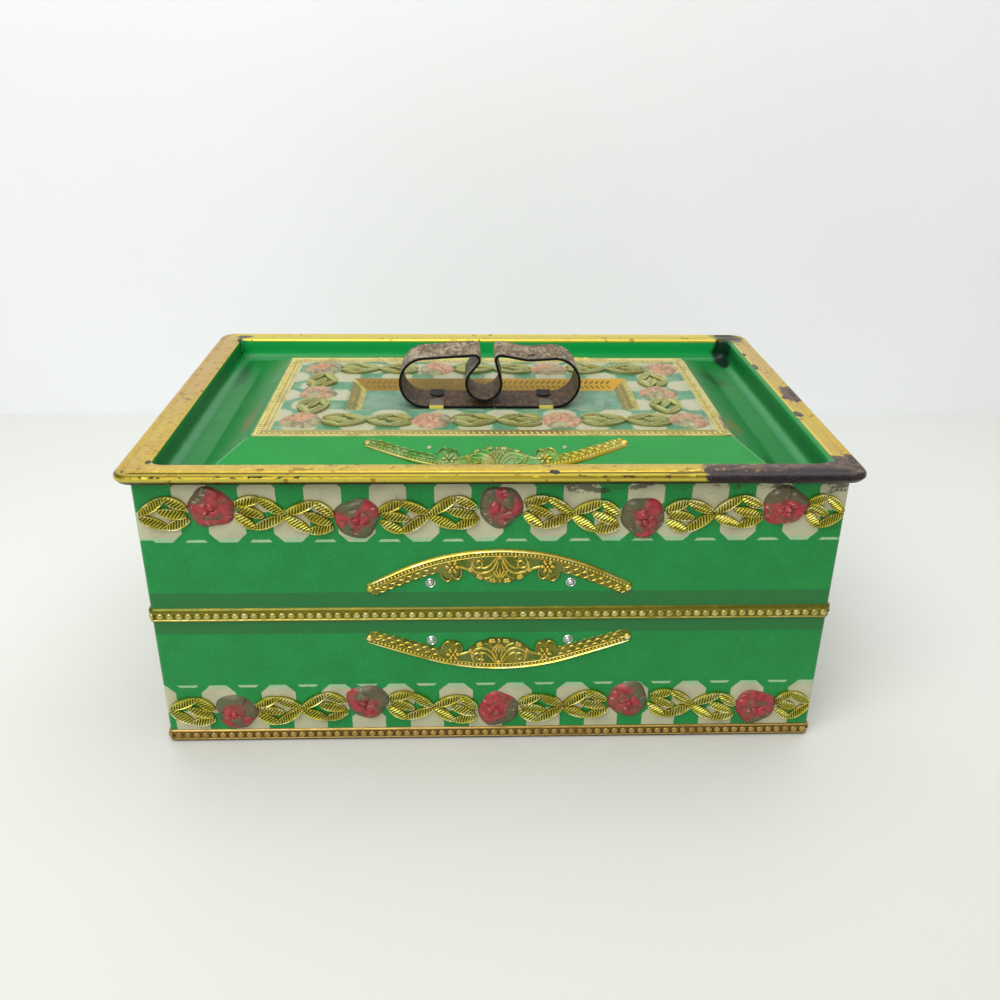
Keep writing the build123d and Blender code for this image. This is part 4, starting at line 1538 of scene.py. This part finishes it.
class Tier:
    """One of the two stacked boxes with its printed wall and embossed decoration."""

    def __init__(self, body: Body, sizes: TierSizes, motifs: Motifs) -> None:
        """Keeps the tier's sizes and its motifs."""
        self.name = body.value
        self.body = body
        self.sizes = sizes
        self.motifs = motifs

    def build(self, leaf_gold: bpy.types.Material, rose_ink: bpy.types.Material,
              crescent_gold: bpy.types.Material, tin: bpy.types.Material) -> None:
        """Lays the garlands, crescents and pearls on all four walls.

        Args:
            leaf_gold: The leaves' finish.
            rose_ink: The roses' finish.
            crescent_gold: The crescents' finish.
            tin: The bare pearls' finish.
        """
        leaves, roses, crescents, pearls, rings = (Relief() for _ in range(5))
        sizes = self.sizes
        for face in wall_faces():
            half = TIN.half_x if face.long_side else TIN.half_y
            garland = sizes.garland if face.long_side else replace(sizes.garland, shift=0.0)
            self.motifs.lay_garland(face, leaves, roses, *garland.places(range(-3, 4), half))
            middle = garland.shift
            crescents.stamp(self.motifs.crescents[sizes.bend], face.at(middle, sizes.crown, sizes.crown_turn))
            for off in sizes.pearls:
                x = middle + off
                rings.stamp(self.motifs.pearl_ring, face.at(x + sizes.ring_off, sizes.pearl - sizes.ring_off))
                pearls.stamp(self.motifs.pearl, face.at(x, sizes.pearl))
        for part, relief, finish in (("leaves", leaves, leaf_gold), ("roses", roses, rose_ink),
                                     ("crescents", crescents, crescent_gold), ("pearls", pearls, tin),
                                     ("pearl_rings", rings, tin)):
            Piece(f"{self.name}_{part}", self.body, finish).finish(relief.made)


@dataclass(frozen=True)
class BandSizes:
    """A beaded moulding that runs round one tier's foot."""

    low: float
    high: float
    bead_level: float
    bead_radius: float
    pitch: float = 2.72
    proud: float = 0.8
    crest: float = 0.4

    def profile(self) -> list[Loop]:
        """Lists the loops of the moulding, from its lip to its upper edge.

        Returns:
            The loops, with a tone for hollows and crests; the lowest loops' dark tone is painted shade under
            the lip.
        """
        low, high, proud = self.low, self.high, self.proud
        # The tones paint light and shade as well: the two lowest loops are dark as painted shade under the
        # lip, and crest sets the tone of the upper edge.
        steps = ((0.1, 0.0, 0.0), (0.6, 0.02, 0.0), (0.8, 0.3, 0.2), (0.85, 0.45, 0.9), (0.7, 0.7, 0.8),
                 (0.5, 0.8, 0.3), (0.42, 1.0, 0.25), (0.42, 2.5, 0.25), (0.6, 2.62, 0.5), (0.8, 2.8, 0.72),
                 (0.9, 3.0, 0.5), (0.95, 3.2, 0.3), (0.9, 3.6, 0.34), (0.75, 3.9, self.crest),
                 (0.5, 4.15, self.crest), (0.0, 4.42, 0.1))
        scale = (high - low) / steps[-1][1]
        loops = []
        for out, up, tone in steps:
            loops.append(Loop.inset(-out * proud, low + up * scale, CORNER + out * proud, tone))
        return loops


class Moulding:
    """A tier's beaded foot moulding."""

    def __init__(self, body: Body, sizes: BandSizes) -> None:
        """Keeps the sizes."""
        self.name = f"{body.value}_band"
        self.body = body
        self.sizes = sizes

    def build(self, gold: bpy.types.Material, bead_gold: bpy.types.Material) -> None:
        """Makes the moulding and its row of beads.

        Args:
            gold: The moulding's finish.
            bead_gold: The beads' finish.
        """
        sizes = self.sizes
        band = wrap(sizes.profile(), Course(40, ROUND_STEPS))
        Piece(self.name, self.body, gold).finish(band, outward=False)
        beads = Relief()
        one = as_motif(bead(sizes.bead_radius, 0.7, 10, 4, fade=5.0))
        row = Loop.inset(-0.4 * sizes.proud, sizes.bead_level)
        for place in places_round(row, sizes.pitch):
            beads.stamp(one, place)
        bpy.data.meshes.remove(one)
        Piece(f"{self.name}_beads", self.body, bead_gold).finish(beads.made)


@dataclass(frozen=True)
class LidSizes:
    """The lid's section, in millimetres from the body's outer face and above the table."""

    roll_inset: float = -2.65
    roll_radius: float = 1.45
    well_inset: float = 4.6
    channel: float = 84.1
    panel: float = 90.9
    hip_foot: float = 7.6
    end_foot: float = 14.6
    panel_inset: float = 27.2
    window: tuple[float, float] = (47.5, 15.8)
    window_floor: tuple[float, float] = (43.1, 9.8)
    floor: float = 88.5
    rim_bend: float = 0.8
    well_corner: float = 4.0
    channel_fillet: float = 2.4

    def profile(self) -> list[Loop]:
        """Lists the loops of the lid from the curled lip to the window's floor.

        Returns:
            The loops.
        """
        roll_z = TIN.rim_top - self.roll_radius
        loops = []
        for degrees in range(-130, 131, 20):
            radius = self.roll_radius - (0.18 if degrees in (-30, -50) else 0.0)
            angle = math.radians(180 - degrees)
            inset, level = self.roll_inset + radius * math.cos(angle), roll_z + radius * math.sin(angle)
            loops.append(Loop.inset(inset, level))
        edge = self.roll_inset + self.roll_radius
        for step, level in ((-0.25, -0.42), (0.1, -0.35), (0.45, -0.08), (0.9, 0.0), (2.5, 0.04)):
            loops.append(Loop.inset(edge + step, TIN.rim_top + level, 2.4))
        bend = self.rim_bend
        for degrees in (0, 30, 60, 90):
            angle = math.radians(degrees)
            loops.append(Loop.inset(self.well_inset - bend + bend * math.sin(angle),
                                    TIN.rim_top - bend + bend * math.cos(angle), self.well_corner))
        for level in (89.0, 87.5):
            loops.append(Loop.inset(self.well_inset, level, self.well_corner))
        fillet = self.channel_fillet
        for degrees in (0, 30, 60, 90):
            angle = math.radians(degrees)
            loops.append(Loop.inset(self.well_inset + fillet * (1 - math.cos(angle)),
                                    self.channel + fillet * (1 - math.sin(angle)), 3.0))
        loops.extend(self.slopes())
        return loops

    def slopes(self) -> list[Loop]:
        """Lists the loops of the hipped slope, the raised panel and its window.

        Returns:
            The loops, from the hip's foot to the window's floor.
        """
        loops = []
        run, end_run = self.panel_inset - self.hip_foot, self.panel_inset - self.end_foot
        rise = self.panel - self.channel
        foot_x, foot_y = TIN.half_x - self.end_foot, TIN.half_y - self.hip_foot
        for share in (-0.01, 0.025, 0.15, 0.3, 0.45, 0.6, 0.75, 0.9, 0.985):
            level = self.channel + rise * max(share, 0.0)
            loops.append(Loop(foot_x - end_run * share, foot_y - run * share, 1.2 - 0.4 * share, level))
        for step, lift in ((0.0, 0.05), (0.2, 0.42), (0.75, 0.5), (1.15, 0.3), (1.35, 0.05), (3.9, 0.05),
                           (4.1, 0.3), (4.6, 0.32), (4.85, 0.02), (8.0, 0.0), (14.0, 0.0)):
            loops.append(Loop.inset(self.panel_inset + step, self.panel + lift, 0.6))
        half_x, half_y = self.window
        low_x, low_y = self.window_floor
        for share, lift in ((-0.35, 0.0), (-0.04, 0.02), (0.0, 0.06), (0.06, 0.0), (0.35, 0.0), (0.65, 0.0),
                            (0.96, 0.0), (1.0, 0.0), (1.6, 0.0)):
            drop = min(max(share, 0.0), 1.0) * (self.panel - self.floor)
            x, y = half_x + (low_x - half_x) * share, half_y + (low_y - half_y) * share
            loops.append(Loop(x, y, 0.5, self.panel + lift - drop))
        loops.append(Loop(30.0, 0.6, 0.2, self.floor))
        return loops


class Lid:
    """The lift-off lid: rolled rim, sunk channel, hipped slopes, decorated panel and the handle's lugs."""

    row_line = 25.9
    row_pitch = 40.5
    row_margin = 4.0
    column_edge = 15.5
    rise = 0.8
    print_shift = 1.2
    crown = 4.8
    pearl = 15.8
    pearls = (-18.8, 21.5)
    lug_places = (-17.6, 18.6)
    still_edge = 8.0
    calm_panel = (76.0, 39.0)
    dent, calm_dent, dent_width = 0.2, 0.05, 22.0

    def __init__(self, sizes: LidSizes, motifs: Motifs) -> None:
        """Keeps the sizes and the motifs."""
        self.sizes = sizes
        self.motifs = motifs

    def build(self, printed: bpy.types.Material, lacquer: bpy.types.Material) -> None:
        """Makes the lid's sheet.

        Args:
            printed: Its upper finish.
            lacquer: Its finish underneath.
        """
        made = wrap(self.sizes.profile(), Course(44, ROUND_STEPS))
        middle = [edge for edge in made.edges if edge.is_boundary
                  and all(abs(v.co.z - self.sizes.floor) < 0.01 for v in edge.verts)]
        bmesh.ops.holes_fill(made, edges=middle, sides=0)
        for point in made.verts:
            x, y = abs(point.co.x), abs(point.co.y)
            if min(TIN.half_x - x, TIN.half_y - y) > self.still_edge:
                calm = x < self.calm_panel[0] and y < self.calm_panel[1]
                depth = self.calm_dent if calm else self.dent
                point.co.z += depth * noise.noise(point.co / self.dent_width)
        piece = Piece("lid_sheet", Body.LID, printed, 40.0).finish(made, outward=False)
        sheet = piece.modifiers.new("sheet", "SOLIDIFY")
        sheet.thickness = SHEET * MM
        sheet.offset = -1.0
        sheet.material_offset = 1
        piece.data.materials.append(lacquer)
        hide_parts("lid_panel")

    def long_slopes(self) -> list[Face]:
        """Lists the front and the back slope as faces."""
        sizes = self.sizes
        run, rise = sizes.panel_inset - sizes.hip_foot, sizes.panel - sizes.channel
        faces = []
        for wall in wall_faces()[::2]:
            out = wall.across.cross(wall.up)
            up = (wall.up * rise - out * run).normalized()
            foot = wall.origin - out * sizes.hip_foot + wall.up * sizes.channel
            faces.append(Face(foot, wall.across, up, long_side=True))
        return faces

    def dress(self, leaf_gold: bpy.types.Material, rose_ink: bpy.types.Material,
              crescent_gold: bpy.types.Material, pearl_tin: bpy.types.Material) -> None:
        """Lays the lid's crescents, pearls and garland.

        Args:
            leaf_gold: The leaves' finish.
            rose_ink: The roses' finish.
            crescent_gold: The crescents' finish.
            pearl_tin: The pearls' finish.
        """
        leaves, roses, crescents, pearls = (Relief() for _ in range(4))
        for face in self.long_slopes():
            where = face.at(self.print_shift, self.crown, 180, (1.02, 1, self.rise))
            crescents.stamp(self.motifs.crescents[30.0], where)
            for x in self.pearls:
                pearls.stamp(self.motifs.pearl, face.at(x, self.pearl, 0, (1, 1, 0.45)))
        top = Face(Vector((0, 0, self.sizes.panel)), Vector((1, 0, 0)), Vector((0, 1, 0)))
        end = TIN.half_x - self.sizes.panel_inset
        for side in (-1, 1):
            row = Garland(side * self.row_line, 0, Garland.shift + self.row_pitch / 2, self.row_pitch)
            places = row.places(range(-2, 2), end - self.row_margin)
            self.motifs.lay_garland(top, leaves, roses, *places, self.rise)
            column = Garland(side * (self.column_edge - end), 0, 0.0)
            upright = Face(top.origin, top.up, -top.across)
            turns = [Leafage(column.offset, column.line, 0.0), Leafage(-column.offset, column.line, 180.0)]
            self.motifs.lay_garland(upright, leaves, roses, [(0.0, column.line)], turns, self.rise)
        for part, relief, finish in (("leaves", leaves, leaf_gold), ("roses", roses, rose_ink),
                                     ("crescents", crescents, crescent_gold), ("pearls", pearls, pearl_tin)):
            Piece(f"lid_{part}", Body.LID, finish).finish(relief.made)

    def edge_work(self, border_gold: bpy.types.Material, tooth_gold: bpy.types.Material) -> None:
        """Lays the ticks of the panel's border and the teeth of the window's slope.

        Args:
            border_gold: The ticks' finish.
            tooth_gold: The teeth's finish.
        """
        sizes = self.sizes
        ticks = Relief()
        tick = as_motif(bead(0.75, 0.4, 6, 2))
        band = Loop.inset(sizes.panel_inset + 2.65, sizes.panel + 0.02, 0.6)
        for place in places_round(band, 1.75, flat=True):
            ticks.stamp(tick, place @ Matrix.Rotation(0.5, 4, "Z") @ Matrix.Diagonal((0.75, 1.45, 1.0, 1)))
        Piece("lid_border_ticks", Body.LID, border_gold).finish(ticks.made)
        teeth, end_teeth = Relief(), Relief()
        drop = sizes.panel - sizes.floor
        for wall in wall_faces():
            long_side = wall.long_side
            out = wall.across.cross(wall.up)
            along, half = sizes.window if long_side else sizes.window[::-1]
            run = half - sizes.window_floor[1 if long_side else 0]
            middle = out * (half - run / 2) + wall.up * (sizes.panel - drop / 2)
            slope = Face(middle, wall.across, (out * run + wall.up * drop).normalized())
            reach, pitch = along - run / 2 - 1.0, 1.9 if long_side else 1.35
            for step in range(-int(reach / pitch), int(reach / pitch) + 1):
                for side in (-1, 1):
                    size = (0.62, 1.7, 0.9 if long_side else 0.5)
                    lean = slope.at(step * pitch, side * run * 0.2, side * 38, size)
                    (teeth if long_side else end_teeth).stamp(tick, lean)
        bpy.data.meshes.remove(tick)
        Piece("lid_window_teeth", Body.LID, tooth_gold).finish(teeth.made)
        Piece("lid_window_end_teeth", Body.LID, border_gold).finish(end_teeth.made)

    def lugs(self, bright: bpy.types.Material, dark: bpy.types.Material) -> None:
        """Makes the four lugs that hold the handle.

        Args:
            bright: The finish of the front lugs.
            dark: The finish of the rear lugs, painted near black as shade.
        """
        for name, side, finish in (("front", -1, bright), ("rear", 1, dark)):
            pair = Relief()
            for x in self.lug_places:
                pair.lay(self.lug(x, side))
            Piece(f"lid_lugs_{name}", Body.LID, finish, 35.0).finish(pair.made)

    def lug(self, x: float, side: int) -> bmesh.types.BMesh:
        """Makes one lug: a leg up the strip's edge and a round-ended tongue over it.

        Args:
            x: The lug's middle.
            side: -1 in front of the strip and 1 behind it.

        Returns:
            The lug.
        """
        half, sheet, leg_y, low, seat = 2.3, 0.3, 8.4, self.sizes.floor - 0.2, self.sizes.floor + 0.9
        route = [(leg_y, low), (leg_y, seat - 0.1), (leg_y - 0.1, seat + 0.2), (leg_y - 0.4, seat + sheet)]
        route += [(leg_y - 0.4 - 0.5 * step, seat + sheet) for step in range(1, 14)]
        tip = route[-1][0]

        def place(along: float, across: float) -> tuple[Vector, float]:
            """Lays one point of the lug."""
            y, z = route[round(along * (len(route) - 1))]
            near_tip = max(0.0, 1 - (y - tip) / half)
            width = half * math.sqrt(max(0.0, 1 - near_tip ** 2))
            return Vector((x + (2 * across - 1) * max(width, 0.25), side * y, z)), 0.6 if y > 8.0 else 0.15
        made = bent_grid(len(route) - 1, 6, place)
        bmesh.ops.recalc_face_normals(made, faces=made.faces)
        bmesh.ops.solidify(made, geom=made.faces[:], thickness=0.28)
        return made


class Handle:
    """The bent strip handle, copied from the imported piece, with softened edges."""

    def build(self, finish: bpy.types.Material) -> None:
        """Makes the handle.

        Args:
            finish: Its finish.
        """
        made = bmesh.new()
        made.from_mesh(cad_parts["handle_strip"].data)
        bmesh.ops.remove_doubles(made, verts=made.verts, dist=1e-6)
        mesh = bpy.data.meshes.new("handle_band")
        made.to_mesh(mesh)
        made.free()
        mesh.shade_smooth()
        mesh.set_sharp_from_angle(angle=math.radians(35))
        mesh.materials.append(finish)
        band = bpy.data.objects.new("handle_band", mesh)
        bpy.context.scene.collection.objects.link(band)
        edge = band.modifiers.new("soft_edges", "BEVEL")
        edge.width, edge.segments = 0.12 * MM, 2
        edge.limit_method, edge.angle_limit = "ANGLE", math.radians(50)
        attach(band, Body.LID.value)
        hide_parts("handle_strip")
        LOG.info("handle_band: %d faces, rides on lid", len(mesh.polygons))


# ---------------------------------------------------------------- room, lamps and camera
@dataclass(frozen=True)
class CameraSet:
    """Where the camera stands, in millimetres and radians."""

    place: tuple[float, float, float] = (-7.798, -311.695, 199.605)
    pitch: float = 0.4440
    yaw: float = 0.0380
    roll: float = 0.0130
    lens: float = 35.128

    def matrix(self) -> Matrix:
        """Gives the camera's matrix."""
        level = math.cos(self.pitch)
        forward = Vector((math.sin(self.yaw) * level, math.cos(self.yaw) * level, -math.sin(self.pitch)))
        right = Vector((math.cos(self.yaw), -math.sin(self.yaw), 0))
        up = right.cross(forward)
        side = right * math.cos(self.roll) + up * math.sin(self.roll)
        top = up * math.cos(self.roll) - right * math.sin(self.roll)
        turned = Matrix((side, top, -forward)).transposed().to_4x4()
        turned.translation = Vector(self.place) * MM
        return turned


class Studio:
    """The pale table and wall, the lamps and the camera."""

    def plane(self, name: str, size: float, where: Matrix, finish: bpy.types.Material) -> None:
        """Adds one flat part of the room.

        Args:
            name: Its name.
            size: Its half width in millimetres.
            where: Its place.
            finish: Its finish.
        """
        made = bmesh.new()
        bmesh.ops.create_grid(made, x_segments=1, y_segments=1, size=size * MM)
        bmesh.ops.transform(made, matrix=where, verts=made.verts)
        mesh = bpy.data.meshes.new(name)
        made.to_mesh(mesh)
        made.free()
        mesh.materials.append(finish)
        part = bpy.data.objects.new(name, mesh)
        bpy.context.scene.collection.objects.link(part)

    def surface(self, name: str, code: str) -> bpy.types.Material:
        """Makes a pale matt finish with a faint cloud in it."""
        g = Graph(name)
        colour = g.paint(g.colour(code), "f0f0ee", g.noise(180.0, 2.0).above(0.5, 0.3) * 0.4)
        return g.finish(colour, 0.6)

    def table(self, name: str) -> bpy.types.Material:
        """Makes the table's pale matt finish, with painted shade that makes it a little warmer and darker
        towards the front.
        """
        g = Graph(name)
        # Painted shade: darker and warmer towards the front.
        colour = g.paint(g.colour("dedfda"), "b9b4a2", g.y.below(-250.0, 300.0))
        return g.finish(colour, 0.6)

    def lamp(self, name: str, place: Sequence[float], size: float, power: float,
             tint: Sequence[float] = (1, 1, 1)) -> None:
        """Adds a square area lamp that faces the tin.

        Args:
            name: Its name.
            place: Where it hangs, in millimetres.
            size: Its width in millimetres.
            power: Its power in watts.
            tint: Its colour.
        """
        light = bpy.data.lights.new(name, "AREA")
        light.size, light.energy, light.color = size * MM, power, tint
        lamp = bpy.data.objects.new(name, light)
        lamp.location = Vector(place) * MM
        lamp.rotation_mode = "QUATERNION"
        lamp.rotation_quaternion = (Vector((0, 0, 0.045)) - lamp.location).to_track_quat("-Z", "Y")
        bpy.context.scene.collection.objects.link(lamp)

    def build(self) -> None:
        """Sets up the room, the lamps, the surroundings and the camera."""
        self.plane("table_top", 900, Matrix.Translation((0, -0.35, -0.0002)), self.table("table_white"))
        wall = Matrix.Translation((0, 0.226, 0.0)) @ Matrix.Rotation(math.radians(90), 4, "X")
        self.plane("back_wall", 900, wall, self.surface("wall_white", "f8fafc"))
        self.lamp("window_light", place=(-260, -420, 620), size=520, power=3.6)
        self.lamp("top_light", place=(120, 60, 700), size=600, power=2.4)
        world = bpy.data.worlds.new("room_light")
        world.use_nodes = True
        back = world.node_tree.nodes["Background"]
        back.inputs["Color"].default_value = (1.0, 1.0, 1.0, 1.0)
        back.inputs["Strength"].default_value = 0.42
        bpy.context.scene.world = world
        lens = bpy.data.cameras.new("camera")
        setting = CameraSet()
        lens.lens, lens.sensor_width = setting.lens, 36.0
        lens.clip_start, lens.clip_end = 0.01, 20.0
        camera = bpy.data.objects.new("camera", lens)
        camera.matrix_world = setting.matrix()
        bpy.context.scene.collection.objects.link(camera)
        bpy.context.scene.camera = camera
        bpy.context.scene.view_settings.view_transform = "Standard"


def dress_nodes() -> dict[str, bpy.types.Material]:
    """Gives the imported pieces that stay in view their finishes.

    Returns:
        The finish of each piece.
    """
    lower = PrintedWall("base_print", first_x=-2.15, first_row=6.05, print_low=-1.0, print_high=20.7,
                        strip_low=39.0, strip_high=44.0)
    upper = PrintedWall("tray_print", first_x=6.45, first_row=84.3, print_low=69.65, print_high=95.0,
                        strip_low=47.0, strip_high=53.1, seam=-96.1)
    lacquer = Gilt("inner_lacquer", "c9993a", "a87d2c", "6f5a1e", 0.3)
    steel = PlainMetal("steel_wire", "9b9b98", "6f5a4a", 0.3)
    finishes = {"base_wall": lower.build(), "tray_wall": upper.build(), "lid_rim_wire": steel.build()}
    floor = lacquer.build()
    for node in ("base_floor", "base_collar", "tray_floor"):
        finishes[node] = floor
    for node, finish in finishes.items():
        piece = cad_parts[node]
        for slot in piece.material_slots:
            slot.material = finish
        LOG.info("%s: %s", node, finish.name)
    return finishes


def main() -> None:
    """Builds every sub-assembly in order."""
    logging.basicConfig(level=logging.INFO, format="%(message)s")
    finishes = dress_nodes()
    leaf_gold = Gilt("leaf_gold", "e0d250", "8c8c22", "2f4404", 0.24, glints=0.9).build()
    crescent_gold = Gilt("crescent_gold", "f2de60", "c8aa3c", "4c661c", 0.26, worn=0.1, glints=0.8,
                         tarnish="9c922e").build()
    lid_crescent_gold = Gilt("lid_crescent_gold", "a39a3c", "5f8438", "2c7a30", 0.35, worn=0.2,
                             warm_from=15.0).build()
    band_gold = Gilt("band_gold", "ccc05a", "858020", "585a12", 0.32, glints=0.3).build()
    bead_gold = Gilt("bead_gold", "bcb45a", "9c9234", "6a6414", 0.32, glints=0.3).build()
    foot_gold = Gilt("foot_gold", "cfae62", "7c6022", "4e3c10", 0.34, tarnish="8a6a2c").build()
    foot_bead = Gilt("foot_bead_gold", "be9e54", "94742c", "5c4614", 0.34, tarnish="8a6a2c").build()
    rose_ink = RosePrint("rose_ink").build()
    faded_rose = RosePrint("faded_rose_ink", "b88a6a", "8c6448", "98966c", "5a4c34", "d0c4a4").build()
    faded_leaf = Gilt("faded_leaf_gold", "b4b274", "8c9258", "5c7448", 0.45).build()
    pearl_tin = PlainMetal("bright_tin", "f4f4f2", "b8bcb4", 0.1).build()
    dull_pearl = PlainMetal("dull_pearl", "8fa98a", "7a6a3c", 0.3, 0.6).build()
    motifs = Motifs()
    edge = 12.6
    lower = TierSizes(Garland(edge, -1), crown=26.1, crown_turn=180.0, pearl=36.4, bend=22.0)
    upper = TierSizes(Garland(TIN.tray_top - edge, 1), crown=67.1, crown_turn=0.0, pearl=56.2, bend=30.0)
    foot = BandSizes(low=0.35, high=4.2, bead_level=2.2, bead_radius=1.15, proud=0.6, crest=0.9)
    # The belt's crest tone of 0.25 paints its upper edge as shade.
    belt = BandSizes(low=43.62, high=48.0, bead_level=45.45, bead_radius=1.15, crest=0.25)
    Tier(Body.BASE, lower, motifs).build(leaf_gold, rose_ink, crescent_gold, pearl_tin)
    Moulding(Body.BASE, foot).build(foot_gold, foot_bead)
    Tier(Body.TRAY, upper, motifs).build(leaf_gold, rose_ink, crescent_gold, pearl_tin)
    Moulding(Body.TRAY, belt).build(band_gold, bead_gold)
    sizes = LidSizes()
    lid = Lid(sizes, motifs)
    lid.build(LidPrint("lid_print", sizes).build(), finishes["base_floor"])
    lid.dress(faded_leaf, faded_rose, lid_crescent_gold, dull_pearl)
    lid.edge_work(Gilt("border_gold", "cfc27a", "a8984a", "746a30", 0.35).build(),
                  Gilt("window_gold", "c4b862", "9c8c3c", "6a5c1c", 0.34).build())
    # The rear lugs' near-black finish is painted shade.
    lid.lugs(LugTin("lug_gold").build(), PlainMetal("rear_lug_shade", "0f0d0b", "060505", 0.55).build())
    Handle().build(AgedStrip("handle_strip_finish").build())
    Studio().build()


if __name__ == "__main__":
    main()
